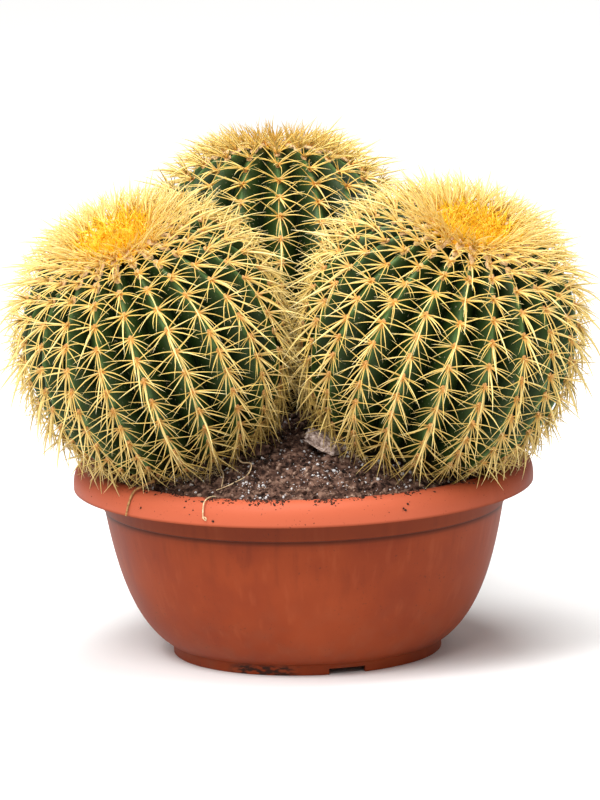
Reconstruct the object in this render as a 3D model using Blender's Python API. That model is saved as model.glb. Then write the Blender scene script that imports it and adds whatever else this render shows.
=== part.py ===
"""Three golden barrel cacti rooted in one wide moulded bowl pot.

Metres, +Z up. The three plants stand in a ring around the pot's axis and lean outwards. The origin is the
centre of the whole object's footprint, at the level that the pot's foot stands on, so the pot's own axis
lies a little in front of it.
"""

import math
import random
from dataclasses import dataclass

import bmesh
import bpy
from mathutils import Vector
from mathutils.bvhtree import BVHTree

# ------------------------------------------------------------------ pot
RIM_RADIUS = 0.250
POT_HEIGHT = 0.211
LIP_DEPTH = 0.027
WALL = 0.003
FOOT_RADIUS = 0.146
FOOT_RING_WIDTH = 0.0055
FOOT_HEIGHT = 0.0118
BASE_UNDERSIDE = 0.0075
NOTCH_WIDTH = 0.041
NOTCH_HEIGHT = 0.0068
NOTCH_COUNT = 3
NOTCH_AZIMUTH = -73.0  # degrees; the first one shows beside the front
DRAIN_RADIUS = 0.006
DRAIN_RING_RADIUS = 0.100
DRAIN_COUNT = 6
POT_SEGMENTS = 42

# ------------------------------------------------------------------ soil
SOIL_RADIUS = 0.2150
SOIL_EDGE_HEIGHT = 0.2055
MOUND_RISE = 0.045
MOUND_CENTRE_Y = 0.015
FIT_GAP = 0.0004
SOCKET_GAP = 0.0016

# ------------------------------------------------------------------ plants
BODY_SQUARENESS = 0.93  # under 1 makes the barrel's shoulders fuller than a sphere's
CROWN_DIP = 0.013
CROWN_DIP_RADIUS = 0.034
RIB_DEPTH = 0.023
CROWN_RADIUS = 0.041
AREOLE_PITCH = 0.042
AREOLE_LENGTH = 0.008
AREOLE_HALF_WIDTH = 0.0027
AREOLE_HEIGHT = 0.0032
AREOLE_LIFT = 0.0019
SPINE_LENGTH = 0.034
SHORTEST_SPINE = 0.010
SPINE_STEP = 0.003  # how much shorter a spine is tried next where it doesn't fit
NEIGHBOUR_GAP = 0.0015
GROUND_GAP = 0.0145
ROW_END_GAP = 0.012
RIM_MARGIN = 0.003
PROBE = 0.01  # a small angle, in radians, for slopes and for turning lengths into angles
CROWN_THICKNESS = 0.009
CROWN_UNDERSIDE = 0.0016
CROWN_EDGE = 0.0026

# ------------------------------------------------------------------ things on the soil
SCRAP_GAP = 0.0012
ROOT_RADIUS = 0.0010
LOOP_RADIUS = 0.0011
STRAW_RADIUS = 0.0014

FOOTPRINT_SHIFT = (0.001, -0.046)  # from the footprint's centre to the pot's axis


@dataclass
class Plant:
    """One barrel cactus: where its middle is, which way it grows and how big its body is."""

    name: str
    centre: Vector
    axis: Vector
    radius: float
    top: float
    bottom: float
    ribs: int
    turn: float

    def __post_init__(self):
        self.axis = self.axis.normalized()
        self.across = self.axis.orthogonal().normalized()
        self.along = self.axis.cross(self.across)

    def outline(self, polar):
        """(radius, height) of the smooth body at an angle from the crown, without its ribs."""
        sine = max(math.sin(polar), 0.0) ** BODY_SQUARENESS
        cosine = math.copysign(abs(math.cos(polar)) ** BODY_SQUARENESS, math.cos(polar))
        radius = self.radius * sine
        height = (self.top if cosine > 0 else self.bottom) * cosine
        if cosine > 0:
            height -= CROWN_DIP * math.exp(-((radius / CROWN_DIP_RADIUS) ** 2))
        return radius, height

    def frame(self, polar, azimuth):
        """Point, outward normal, downward tangent and sideways direction on the smooth body."""
        low, high = max(polar - PROBE, 0.001), min(polar + PROBE, math.pi - 0.001)
        before, here, after = (self.outline(p) for p in (low, polar, high))
        slope = Vector((after[0] - before[0], after[1] - before[1])).normalized()
        out = self.across * math.cos(azimuth) + self.along * math.sin(azimuth)
        point = self.centre + out * here[0] + self.axis * here[1]
        normal = out * -slope.y + self.axis * slope.x
        tangent = out * slope.x + self.axis * slope.y
        return point, normal, tangent, normal.cross(tangent)

    def rib_azimuth(self, rib):
        return self.turn + 2 * math.pi * rib / self.ribs

    def groove_depth(self, polar):
        """Depth of the groove between two ribs, which fades with the body's girth."""
        return RIB_DEPTH * self.outline(polar)[0] / self.radius


LEFT = Plant(
    name="left",
    centre=Vector((-0.160, -0.085, 0.367)),
    axis=Vector((-0.29, -0.30, 0.90)),
    radius=0.140,
    top=0.130,
    bottom=0.156,
    ribs=20,
    turn=0.10,
)
RIGHT = Plant(
    name="right",
    centre=Vector((0.152, -0.085, 0.366)),
    axis=Vector((0.28, -0.31, 0.90)),
    radius=0.147,
    top=0.135,
    bottom=0.160,
    ribs=21,
    turn=0.05,
)
BACK = Plant(
    name="back",
    centre=Vector((-0.024, 0.176, 0.376)),
    axis=Vector((0.0, 0.36, 0.93)),
    radius=0.148,
    top=0.148,
    bottom=0.168,
    ribs=20,
    turn=0.16,
)
PLANTS = (LEFT, RIGHT, BACK)

# ------------------------------------------------------------------ helpers


def material(name, colour, roughness):
    """A plain Principled finish with the part's colour."""
    made = bpy.data.materials.new(name)
    made.use_nodes = True
    shader = made.node_tree.nodes["Principled BSDF"]
    shader.inputs["Base Color"].default_value = (*colour, 1.0)
    shader.inputs["Roughness"].default_value = roughness
    shader.inputs["Metallic"].default_value = 0.0
    made.diffuse_color = (*colour, 1.0)
    return made


def add_object(name, data, finish, stand):
    """Links an object under the empty that shifts the whole part onto its origin."""
    made = bpy.data.objects.new(name, data)
    bpy.context.scene.collection.objects.link(made)
    made.parent = stand
    if finish:
        made.data.materials.append(finish)
    return made


def mesh_from(name, shape):
    """A mesh from a bmesh, welded, with its faces pointing out."""
    bmesh.ops.remove_doubles(shape, verts=shape.verts, dist=1e-6)
    bmesh.ops.recalc_face_normals(shape, faces=shape.faces)
    mesh = bpy.data.meshes.new(name)
    shape.to_mesh(mesh)
    shape.free()
    return mesh


def bezier(start, pull_start, pull_end, end, count):
    """Points along a cubic curve in the (radius, height) plane, both ends included."""
    found = []
    for i in range(count):
        t = i / (count - 1)
        weights = ((1 - t) ** 3, 3 * t * (1 - t) ** 2, 3 * t * t * (1 - t), t**3)
        points = (start, pull_start, pull_end, end)
        found.append(tuple(sum(w * p[k] for w, p in zip(weights, points)) for k in (0, 1)))
    return found


def lathe(profile, segments):
    """A bmesh turned about Z from a (radius, height) profile that starts and ends on the axis."""
    shape = bmesh.new()
    points = [shape.verts.new((radius, 0, height)) for radius, height in profile]
    edges = [shape.edges.new(pair) for pair in zip(points, points[1:])]
    bmesh.ops.spin(
        shape,
        geom=points + edges,
        cent=(0, 0, 0),
        axis=(0, 0, 1),
        angle=2 * math.pi,
        steps=segments,
        use_merge=True,
    )
    return shape


# ------------------------------------------------------------------ pot


def pot_profile():
    """The bowl's section: foot ring, swelling wall, collar band, hollow turned-down lip and the inside."""
    lip_edge = POT_HEIGHT - LIP_DEPTH
    foot = [
        (0.0, BASE_UNDERSIDE),
        (FOOT_RADIUS - FOOT_RING_WIDTH, BASE_UNDERSIDE),
        (FOOT_RADIUS - FOOT_RING_WIDTH, 0.0),
        (FOOT_RADIUS, 0.0),
        (FOOT_RADIUS, FOOT_HEIGHT),
    ]
    wall = bezier((0.1497, 0.0125), (0.192, 0.040), (0.207, 0.105), (0.217, 0.1615), 6)
    collar = [(0.2185, 0.1623), (0.2225, 0.2040)]
    lip_underside = [(0.2245, 0.2065), (0.2385, 0.2075), (0.2458, 0.2015), (0.2470, lip_edge)]
    lip = bezier((RIM_RADIUS, lip_edge), (0.2515, 0.203), (0.244, POT_HEIGHT), (0.231, POT_HEIGHT), 5)
    inside_top = [(0.2250, 0.2100), (0.2210, 0.2060), (0.2180, 0.180)]
    inside = bezier((0.2140, 0.1600), (0.204, 0.106), (0.190, 0.0435), (0.1475, 0.0168), 5)
    floor = [(0.1405, BASE_UNDERSIDE + WALL + 0.0007), (0.0, BASE_UNDERSIDE + WALL)]
    return foot + wall + collar + lip_underside + lip + inside_top + inside + floor


def foot_notch(index, stand):
    """A cutter for one of the water notches in the foot ring."""
    azimuth = math.radians(NOTCH_AZIMUTH + 360.0 * index / NOTCH_COUNT)
    shape = bmesh.new()
    bmesh.ops.create_cube(shape, size=1.0)
    bmesh.ops.scale(shape, vec=(0.020, NOTCH_WIDTH, 2 * NOTCH_HEIGHT), verts=shape.verts)
    cutter = add_object(f"notch_cutter_{index + 1}", mesh_from("notch_cutter", shape), None, stand)
    middle = FOOT_RADIUS - FOOT_RING_WIDTH / 2
    cutter.location = (middle * math.cos(azimuth), middle * math.sin(azimuth), 0)
    cutter.rotation_euler = (0, 0, azimuth)
    return cutter


def drain_cutter(index, stand):
    """A cutter for one round drain hole in the base."""
    azimuth = 2 * math.pi * index / DRAIN_COUNT
    shape = bmesh.new()
    bmesh.ops.create_cone(
        shape, cap_ends=True, segments=12, radius1=DRAIN_RADIUS, radius2=DRAIN_RADIUS, depth=0.02
    )
    cutter = add_object(f"drain_cutter_{index + 1}", mesh_from("drain_cutter", shape), None, stand)
    cutter.location = (
        DRAIN_RING_RADIUS * math.cos(azimuth),
        DRAIN_RING_RADIUS * math.sin(azimuth),
        BASE_UNDERSIDE,
    )
    return cutter


def build_pot(stand):
    """The one-piece bowl, with its notches and drain holes cut through."""
    terracotta = material("terracotta_plastic", (0.44, 0.105, 0.045), 0.5)
    body = mesh_from("bowl_pot", lathe(pot_profile(), POT_SEGMENTS))
    pot = add_object("bowl_pot", body, terracotta, stand)
    cutters = [foot_notch(i, stand) for i in range(NOTCH_COUNT)]
    cutters += [drain_cutter(i, stand) for i in range(DRAIN_COUNT)]
    for cutter in cutters:
        cutter.hide_render = True
        cutter.display_type = "WIRE"
        cut = pot.modifiers.new(cutter.name, "BOOLEAN")
        cut.operation = "DIFFERENCE"
        cut.object = cutter
    pot.data.shade_smooth()
    pot.data.set_sharp_from_angle(angle=math.radians(35))
    return pot


# ------------------------------------------------------------------ soil


def mound_height(x, y):
    """Height of the heaped soil, highest between the plants and level with the rim at the edge."""
    reach = math.hypot(x, y - MOUND_CENTRE_Y) / (SOIL_RADIUS + MOUND_CENTRE_Y)
    return SOIL_EDGE_HEIGHT + MOUND_RISE * (1 - min(reach, 1.0) ** 2.4)


def envelope_tree(plant):
    """The smooth body as a search tree, for finding how low the plant reaches."""
    columns, rings = 72, 40
    points = [
        plant.frame(math.pi * (0.5 + i) / rings, 2 * math.pi * j / columns)[0]
        for i in range(rings)
        for j in range(columns)
    ]
    faces = []
    for i in range(rings - 1):
        upper, lower = i * columns, (i + 1) * columns
        for j in range(columns):
            nxt = (j + 1) % columns
            faces.append((upper + j, upper + nxt, lower + nxt, lower + j))
    faces.append(tuple(reversed(range((rings - 1) * columns, rings * columns))))
    return BVHTree.FromPolygons(points, faces)


def soil_top(x, y, trees):
    """Height of the soil's surface, pressed down where a plant sits in it."""
    height = mound_height(x, y)
    for tree in trees:
        hit = tree.ray_cast(Vector((x, y, 0.0)), Vector((0, 0, 1)))[0]
        if hit:
            height = min(height, hit.z - SOCKET_GAP)
    return height


def build_soil(stand, trees):
    """The block of potting mix: its underside follows the bowl and its top carries the plants' sockets."""
    brown = material("potting_mix", (0.055, 0.032, 0.022), 0.95)
    columns, rings = 40, 10
    shape = bmesh.new()
    top = [shape.verts.new((0, 0, soil_top(0, 0, trees)))]
    for ring in range(1, rings + 1):
        radius = SOIL_RADIUS * ring / rings
        for column in range(columns):
            angle = 2 * math.pi * column / columns
            x, y = radius * math.cos(angle), radius * math.sin(angle)
            top.append(shape.verts.new((x, y, soil_top(x, y, trees))))
    bowl = bezier((0.2140, 0.1600), (0.204, 0.106), (0.190, 0.0435), (0.1475, 0.0168), 5)
    sides = [(0.2150, 0.180)] + bowl[:-1] + [(0.1440, 0.0160)]
    below = []
    for radius, height in sides:
        facet_radius = (radius - FIT_GAP * 3) / math.cos(math.pi / columns)
        inner = min(facet_radius, radius - FIT_GAP)
        for column in range(columns):
            angle = 2 * math.pi * column / columns
            place = (inner * math.cos(angle), inner * math.sin(angle), height + FIT_GAP)
            below.append(shape.verts.new(place))
    floor = shape.verts.new((0, 0, BASE_UNDERSIDE + WALL + 2 * FIT_GAP))
    for column in range(columns):
        nxt = (column + 1) % columns
        shape.faces.new((top[0], top[1 + column], top[1 + nxt]))
        for ring in range(rings - 1):
            a, b = 1 + ring * columns, 1 + (ring + 1) * columns
            shape.faces.new((top[a + column], top[b + column], top[b + nxt], top[a + nxt]))
        edge = 1 + (rings - 1) * columns
        shape.faces.new((top[edge + column], below[column], below[nxt], top[edge + nxt]))
        for level in range(len(sides) - 1):
            a, b = level * columns, (level + 1) * columns
            shape.faces.new((below[a + column], below[b + column], below[b + nxt], below[a + nxt]))
        last = (len(sides) - 1) * columns
        shape.faces.new((below[last + column], floor, below[last + nxt]))
    return add_object("potting_soil", mesh_from("potting_soil", shape), brown, stand)


# ------------------------------------------------------------------ plants


def build_stem(plant, stand, green):
    """The ribbed barrel: each rib has one crest line and each groove one valley line."""
    rings = 15
    columns = 2 * plant.ribs
    shape = bmesh.new()
    crown = shape.verts.new(plant.frame(0.001, 0)[0])
    base = shape.verts.new(plant.frame(math.pi - 0.001, 0)[0])
    grid = []
    for ring in range(1, rings):
        polar = math.pi * (ring / rings) ** 0.93
        row = []
        for column in range(columns):
            point, normal, _, _ = plant.frame(polar, plant.rib_azimuth(column / 2))
            if column % 2:
                point = point - normal * plant.groove_depth(polar)
            row.append(shape.verts.new(point))
        grid.append(row)
    for column in range(columns):
        nxt = (column + 1) % columns
        shape.faces.new((crown, grid[0][column], grid[0][nxt]))
        shape.faces.new((base, grid[-1][nxt], grid[-1][column]))
        for upper, lower in zip(grid, grid[1:]):
            shape.faces.new((upper[column], lower[column], lower[nxt], upper[nxt]))
    name = f"{plant.name}_cactus_stem"
    return add_object(name, mesh_from(name, shape), green, stand)


def ground_height(x, y):
    """What lies below a spine tip: soil, the pot's rim or nothing."""
    reach = math.hypot(x, y)
    if reach < SOIL_RADIUS:
        return mound_height(x, y)
    if reach < RIM_RADIUS + RIM_MARGIN:
        return POT_HEIGHT
    return 0.0


def stays_clear(point, plant):
    """True where a spine tip is above the ground and on its own plant's side of every neighbour."""
    if point.z < ground_height(point.x, point.y) + GROUND_GAP:
        return False
    for other in PLANTS:
        if other is plant:
            continue
        between = other.centre - plant.centre
        share = plant.radius / (plant.radius + other.radius)
        limit = between.length * share - NEIGHBOUR_GAP
        if (point - plant.centre).dot(between.normalized()) > limit:
            return False
    return True


def clear_length(start, direction, length, plant):
    """The longest spine up to this length that stays clear, or 0 where even a short one doesn't."""
    while length >= SHORTEST_SPINE and not stays_clear(start + direction * length, plant):
        length -= SPINE_STEP
    return length if length >= SHORTEST_SPINE else 0.0


def turn_for(plant, polar, azimuth, length):
    """The change of polar angle that goes this far along a rib."""
    here, ahead = (plant.frame(p, azimuth)[0] for p in (polar, polar + PROBE))
    return length / (ahead - here).length * PROBE


def areole_polars(plant, azimuth):
    """Angles from the crown at which this rib carries areoles, down to where it meets the soil."""
    found = []
    polar = crown_edge(plant)
    while polar < math.pi:
        point, _, tangent, _ = plant.frame(polar, azimuth)
        ahead = point + tangent * AREOLE_PITCH
        if not stays_clear(ahead, plant) or ahead.z < ground_height(ahead.x, ahead.y) + ROW_END_GAP:
            break
        polar += turn_for(plant, polar, azimuth, AREOLE_PITCH)
        found.append(polar)
    return found


def crown_edge(plant):
    """Angle from the crown at which the woolly crown ends and the ribs' areole rows begin."""
    polar = 0.05
    while plant.outline(polar)[0] < CROWN_RADIUS + 0.004:
        polar += 0.005
    return polar


def areole_section(shape, plant, polar, azimuth):
    """One three-cornered section of an areole row, riding just above the rib's crest."""
    point, normal, _, side = plant.frame(polar, azimuth)
    foot = point + normal * AREOLE_LIFT
    return [
        shape.verts.new(foot - side * AREOLE_HALF_WIDTH),
        shape.verts.new(foot + side * AREOLE_HALF_WIDTH),
        shape.verts.new(point + normal * (AREOLE_LIFT + AREOLE_HEIGHT)),
    ]


def build_areole_rows(plant, stand, straw):
    """A ring of young areoles round the crown with one row of spined areoles down every rib."""
    jitter = random.Random(plant.ribs * 7 + len(plant.name))
    shape = bmesh.new()
    start = crown_edge(plant)
    inner_polar = start - 0.045
    rows, inner = [], []
    for rib in range(plant.ribs):
        azimuth = plant.rib_azimuth(rib)
        rows.append([areole_section(shape, plant, start, azimuth)])
        point, normal, _, _ = plant.frame(inner_polar, azimuth)
        inner.append(
            (
                shape.verts.new(point + normal * (AREOLE_LIFT + AREOLE_HEIGHT)),
                shape.verts.new(point + normal * AREOLE_LIFT),
            )
        )
    polars = {}
    for rib, row in enumerate(rows):
        azimuth = plant.rib_azimuth(rib)
        for polar in areole_polars(plant, azimuth):
            half = turn_for(plant, polar, azimuth, AREOLE_LENGTH / 2)
            for edge in (polar - half, polar + half):
                row.append(areole_section(shape, plant, edge, azimuth))
            polars[rib, len(row) - 2] = polar
    raised = []
    for rib, row in enumerate(rows):
        for index, (upper, lower) in enumerate(zip(row, row[1:])):
            shape.faces.new((upper[0], lower[0], lower[1], upper[1]))
            right = shape.faces.new((upper[1], lower[1], lower[2], upper[2]))
            left = shape.faces.new((upper[2], lower[2], lower[0], upper[0]))
            if (rib, index) in polars:
                raised.append((rib, index, left, right))
        shape.faces.new((row[-1][2], row[-1][1], row[-1][0]))
        after = (rib + 1) % plant.ribs
        here, there = rows[rib][0], rows[after][0]
        shape.faces.new((here[2], here[1], there[0], there[2]))
        shape.faces.new((inner[rib][0], here[2], there[2], inner[after][0]))
        shape.faces.new((inner[rib][1], here[0], here[1]))
        shape.faces.new((inner[rib][1], here[1], there[0], inner[after][1]))
        shape.faces.new((inner[rib][0], inner[rib][1], inner[after][1], inner[after][0]))
    for rib, index, left, right in raised:
        point, normal, tangent, side = plant.frame(polars[rib, index], plant.rib_azimuth(rib))
        for face, sign in ((left, -1), (right, 1)):
            direction = normal * (0.74 + jitter.uniform(-0.06, 0.06))
            direction += side * sign * (0.60 + jitter.uniform(-0.08, 0.08))
            direction = (direction + tangent * jitter.uniform(-0.15, 0.35)).normalized()
            length = clear_length(point, direction, SPINE_LENGTH * jitter.uniform(0.9, 1.1), plant)
            if length:
                tip = bmesh.ops.poke(shape, faces=[face])["verts"][0]
                tip.co = point + direction * length
    name = f"{plant.name}_cactus_areoles_and_spines"
    return add_object(name, mesh_from(name, shape), straw, stand)


def build_crown(plant, stand, gold):
    """The woolly cushion of young spines that fills the sunken crown."""
    jitter = random.Random(plant.ribs)
    columns, rings = 16, 3
    edge = crown_edge(plant) - 0.06
    shape = bmesh.new()
    low, high = [], []
    for ring in range(1, rings + 1):
        polar = edge * ring / rings
        low_row, high_row = [], []
        for column in range(columns):
            point, normal, _, _ = plant.frame(polar, 2 * math.pi * column / columns)
            thickness = CROWN_THICKNESS * math.cos(0.42 * math.pi * ring / rings)
            low_row.append(shape.verts.new(point + normal * CROWN_UNDERSIDE))
            high_row.append(shape.verts.new(point + normal * (CROWN_EDGE + thickness)))
        low.append(low_row)
        high.append(high_row)
    middle = plant.frame(0.002, 0)[0]
    bottom = shape.verts.new(middle + plant.axis * CROWN_UNDERSIDE)
    peak = shape.verts.new(middle + plant.axis * (CROWN_EDGE + CROWN_THICKNESS))
    tufts = []
    for column in range(columns):
        nxt = (column + 1) % columns
        tufts.append(shape.faces.new((peak, high[0][column], high[0][nxt])))
        shape.faces.new((bottom, low[0][nxt], low[0][column]))
        for ring in range(rings - 1):
            upper, outer = high[ring], high[ring + 1]
            tufts.append(shape.faces.new((upper[column], outer[column], outer[nxt], upper[nxt])))
            upper, outer = low[ring], low[ring + 1]
            shape.faces.new((upper[nxt], outer[nxt], outer[column], upper[column]))
        shape.faces.new((high[-1][column], low[-1][column], low[-1][nxt], high[-1][nxt]))
    for face in tufts:
        centre = face.calc_center_median()
        outward = (centre - plant.centre).normalized() * 0.5 + plant.axis
        tip = bmesh.ops.poke(shape, faces=[face])["verts"][0]
        tip.co = centre + outward.normalized() * jitter.uniform(0.008, 0.015)
    name = f"{plant.name}_cactus_crown_wool"
    return add_object(name, mesh_from(name, shape), gold, stand)


# ------------------------------------------------------------------ things lying on the soil


def rest_height(x, y, soil_tree):
    """Height of whatever a fallen scrap lies on: the built soil, the rim's rounded top or its side."""
    hit = soil_tree.ray_cast(Vector((x, y, 1.0)), Vector((0, 0, -1)))[0]
    return hit.z if hit else POT_HEIGHT


def build_scrap(name, size, place, turn, finish, stand, soil_tree, seed):
    """A rough lump, such as bark or a clod, just resting on the soil."""
    jitter = random.Random(seed)
    shape = bmesh.new()
    bmesh.ops.create_cube(shape, size=1.0)
    bmesh.ops.subdivide_edges(shape, edges=shape.edges, cuts=2, use_grid_fill=True)
    for vert in shape.verts:
        rounding = 0.82 + 0.18 / max(vert.co.length / 0.5, 1.0)
        vert.co *= rounding * jitter.uniform(0.86, 1.05)
    bmesh.ops.scale(shape, vec=size, verts=shape.verts)
    made = add_object(name, mesh_from(name, shape), finish, stand)
    reach = max(size[0], size[1]) / 2
    corners = [(place[0] + reach * a, place[1] + reach * b) for a in (-1, 0, 1) for b in (-1, 0, 1)]
    ground = max(rest_height(x, y, soil_tree) for x, y in corners)
    made.location = (*place, ground + size[2] * 0.53 + FIT_GAP)
    made.rotation_euler = (0, 0, turn)
    return made


def build_root(name, route, radius, finish, stand):
    """A dry root or straw: a round-section tube along a smooth route through hand-set points."""
    curve = bpy.data.curves.new(name, "CURVE")
    curve.dimensions = "3D"
    curve.bevel_depth = radius
    curve.bevel_resolution = 0
    curve.use_fill_caps = True
    curve.resolution_u = 2
    line = curve.splines.new("NURBS")
    line.points.add(len(route) - 1)
    for point, place in zip(line.points, route):
        point.co = (*place, 1.0)
    line.order_u = 3
    line.use_endpoint_u = True
    return add_object(name, curve, finish, stand)


def over_soil(places, radius, soil_tree):
    """Lifts (x, y, extra height) points so that a tube of this radius clears the soil."""
    return [(x, y, rest_height(x, y, soil_tree) + radius + SCRAP_GAP + extra) for x, y, extra in places]


def over_rim(soil_point, azimuth, radius, drop, soil_tree):
    """A route from a point on the soil, over the rim's top and down its outer face."""
    out = Vector((math.cos(azimuth), math.sin(azimuth)))
    clear = radius + SCRAP_GAP
    x, y, extra = soil_point
    start = (x, y, rest_height(x, y, soil_tree) + clear + extra)
    stations = [(0.2130, POT_HEIGHT), (0.2300, POT_HEIGHT), (0.2440, 0.2100), (0.2510, 0.2035)]
    stations += [(0.2520, 0.2035 - drop)]
    offsets = ((0.0, 1.0), (0.0, 1.0), (0.6, 0.8), (1.0, 0.3), (1.0, 0.0))
    route = [start]
    for (reach, height), (sideways, upwards) in zip(stations, offsets):
        reach += clear * sideways
        route.append((out.x * reach, out.y * reach, height + clear * upwards))
    return route


def build_litter(stand, soil):
    """The bark chip, clods, dry roots and straw that lie on the soil in front."""
    soil_tree = BVHTree.FromObject(soil, bpy.context.evaluated_depsgraph_get())
    bark = material("grey_bark", (0.19, 0.13, 0.10), 0.9)
    clod = material("peat_clod", (0.075, 0.042, 0.028), 0.95)
    dry = material("dry_root", (0.50, 0.34, 0.20), 0.8)
    hay = material("dry_straw", (0.62, 0.45, 0.24), 0.7)
    scraps = (
        ("bark_chip", (0.036, 0.019, 0.012), (0.024, -0.112), -0.75, bark, 3),
        ("soil_clod_large", (0.024, 0.018, 0.012), (-0.048, -0.122), 0.4, clod, 5),
        ("soil_clod_small", (0.016, 0.013, 0.009), (0.012, -0.030), 1.1, clod, 8),
    )
    for name, size, place, turn, finish, seed in scraps:
        build_scrap(name, size, place, turn, finish, stand, soil_tree, seed)
    loop = [
        (-0.070, -0.136, 0.004),
        (-0.066, -0.140, 0.003),
        (-0.056, -0.150, 0.002),
        (-0.060, -0.165, 0.001),
        (-0.076, -0.178, 0.001),
        (-0.094, -0.178, 0.001),
    ]
    upright = [
        (-0.084, -0.132, 0.005),
        (-0.088, -0.143, 0.003),
        (-0.086, -0.158, 0.002),
        (-0.090, -0.170, 0.003),
    ]
    tail_start, tail_azimuth, tail_drop = (-0.098, -0.186, 0.001), math.radians(-115.5), 0.012
    straw_start, straw_azimuth, straw_drop = (-0.150, -0.148, 0.001), math.radians(-136.0), 0.014
    tail = over_rim(tail_start, tail_azimuth, ROOT_RADIUS, tail_drop, soil_tree)
    straw = over_rim(straw_start, straw_azimuth, STRAW_RADIUS, straw_drop, soil_tree)
    build_root("dry_root_loop", over_soil(loop, LOOP_RADIUS, soil_tree), LOOP_RADIUS, dry, stand)
    build_root("dry_root_straight", over_soil(upright, ROOT_RADIUS, soil_tree), ROOT_RADIUS, dry, stand)
    build_root("dry_root_over_rim", tail, ROOT_RADIUS, dry, stand)
    build_root("straw_over_rim", straw, STRAW_RADIUS, hay, stand)


# ------------------------------------------------------------------ the whole part


def clear_scene():
    for old in list(bpy.data.objects):
        bpy.data.objects.remove(old)


def main():
    clear_scene()
    stand = bpy.data.objects.new("stand", None)
    bpy.context.scene.collection.objects.link(stand)
    green = material("cactus_skin", (0.035, 0.075, 0.028), 0.45)
    straw = material("straw_yellow_spines", (0.80, 0.56, 0.20), 0.4)
    gold = material("golden_crown_wool", (0.92, 0.58, 0.10), 0.7)
    build_pot(stand)
    soil = build_soil(stand, [envelope_tree(plant) for plant in PLANTS])
    for plant in PLANTS:
        build_stem(plant, stand, green)
        build_areole_rows(plant, stand, straw)
        build_crown(plant, stand, gold)
    bpy.context.view_layer.update()
    build_litter(stand, soil)
    stand.location = (*FOOTPRINT_SHIFT, 0)


main()
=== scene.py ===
# %% [markdown]
# # Three golden barrel cacti in a bowl pot
#
# Three round, ribbed plants share one wide moulded bowl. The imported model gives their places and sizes. Here
# each piece gets its real surface: ribs with felted areoles, thousands of spines, golden wool in the sunken
# crowns, loose potting mix, and a used plastic pot.

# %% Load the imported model
import math
import random

import bmesh
import bpy
import numpy as np
from mathutils import Matrix, Vector, noise
from mathutils.bvhtree import BVHTree


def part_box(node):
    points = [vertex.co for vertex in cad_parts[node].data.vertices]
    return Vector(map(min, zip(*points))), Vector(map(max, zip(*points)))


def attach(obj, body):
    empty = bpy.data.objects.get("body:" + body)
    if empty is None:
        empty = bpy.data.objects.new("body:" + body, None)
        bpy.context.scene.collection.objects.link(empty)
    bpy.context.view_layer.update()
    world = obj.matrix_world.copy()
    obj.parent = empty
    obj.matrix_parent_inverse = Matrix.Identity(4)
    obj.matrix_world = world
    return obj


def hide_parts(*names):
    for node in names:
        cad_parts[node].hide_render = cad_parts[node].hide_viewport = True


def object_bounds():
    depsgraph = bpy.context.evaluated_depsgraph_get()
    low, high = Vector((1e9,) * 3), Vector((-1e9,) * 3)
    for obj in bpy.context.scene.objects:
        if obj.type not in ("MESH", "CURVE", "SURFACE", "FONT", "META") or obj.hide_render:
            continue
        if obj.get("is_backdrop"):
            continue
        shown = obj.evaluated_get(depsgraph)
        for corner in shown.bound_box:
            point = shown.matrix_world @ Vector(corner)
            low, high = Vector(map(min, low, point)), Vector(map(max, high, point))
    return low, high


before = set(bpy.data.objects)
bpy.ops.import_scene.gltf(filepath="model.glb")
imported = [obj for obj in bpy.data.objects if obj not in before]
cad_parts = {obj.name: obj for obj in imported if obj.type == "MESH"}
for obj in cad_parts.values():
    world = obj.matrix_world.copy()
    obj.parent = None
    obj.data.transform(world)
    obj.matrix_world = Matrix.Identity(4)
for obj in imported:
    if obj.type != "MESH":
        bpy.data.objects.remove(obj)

CAD_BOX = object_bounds()
print("nodes:", ", ".join(sorted(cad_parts)))
print("CAD box:", [[round(v, 4) for v in corner] for corner in CAD_BOX])

# %% [markdown]
# ## Places
#
# The pot's own axis isn't the object's centre, because the plants lean out unevenly. Everything is placed
# from that axis, which the pot's box gives.

# %% The pot's axis
POT_LOW, POT_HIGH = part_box("bowl_pot")
AXIS_X = (POT_LOW.x + POT_HIGH.x) / 2
AXIS_Y = (POT_LOW.y + POT_HIGH.y) / 2
RIM_RADIUS = (POT_HIGH.x - POT_LOW.x) / 2
POT_HEIGHT = POT_HIGH.z
print(f"pot axis {AXIS_X:.4f}, {AXIS_Y:.4f}; rim radius {RIM_RADIUS:.4f}, height {POT_HEIGHT:.4f}")

# %% [markdown]
# ## A few small helpers
#
# Node trees get long in a script. One function fills a node's inputs, and one adds a node with its settings,
# so each line of a tree reads like one step. Another turns a hex colour, as a paint chart gives it, into the
# linear light that the renderer works in. The last finishes a piece, with the node that it stands for and a
# body to ride on.


# %% Helpers
def feed(tree, node, links):
    """Fills a node's inputs. links maps an input's name or number to a value, a socket or a node."""
    for key, value in links.items():
        if isinstance(value, bpy.types.Node):
            value = value.outputs[0]
        if isinstance(value, bpy.types.NodeSocket):
            tree.links.new(value, node.inputs[key])
        else:
            node.inputs[key].default_value = value


def add(tree, kind, links=None, **settings):
    """Adds a node, with its settings and its inputs."""
    node = tree.nodes.new(kind)
    for name, value in settings.items():
        setattr(node, name, value)
    feed(tree, node, links or {})
    return node


def linear(code):
    """An sRGB hex colour as linear RGBA."""
    found = []
    for i in (1, 3, 5):
        value = int(code[i : i + 2], 16) / 255
        found.append(value / 12.92 if value <= 0.04045 else ((value + 0.055) / 1.055) ** 2.4)
    return (*found, 1.0)


def finish_piece(piece, node):
    """A piece of the object: it stands for a CAD node, which it hides, and moves with the one body."""
    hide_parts(node)
    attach(piece, "root")
    piece.data.calc_loop_triangles()
    print(f"{piece.name}: {len(piece.data.loop_triangles)} triangles")


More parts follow.
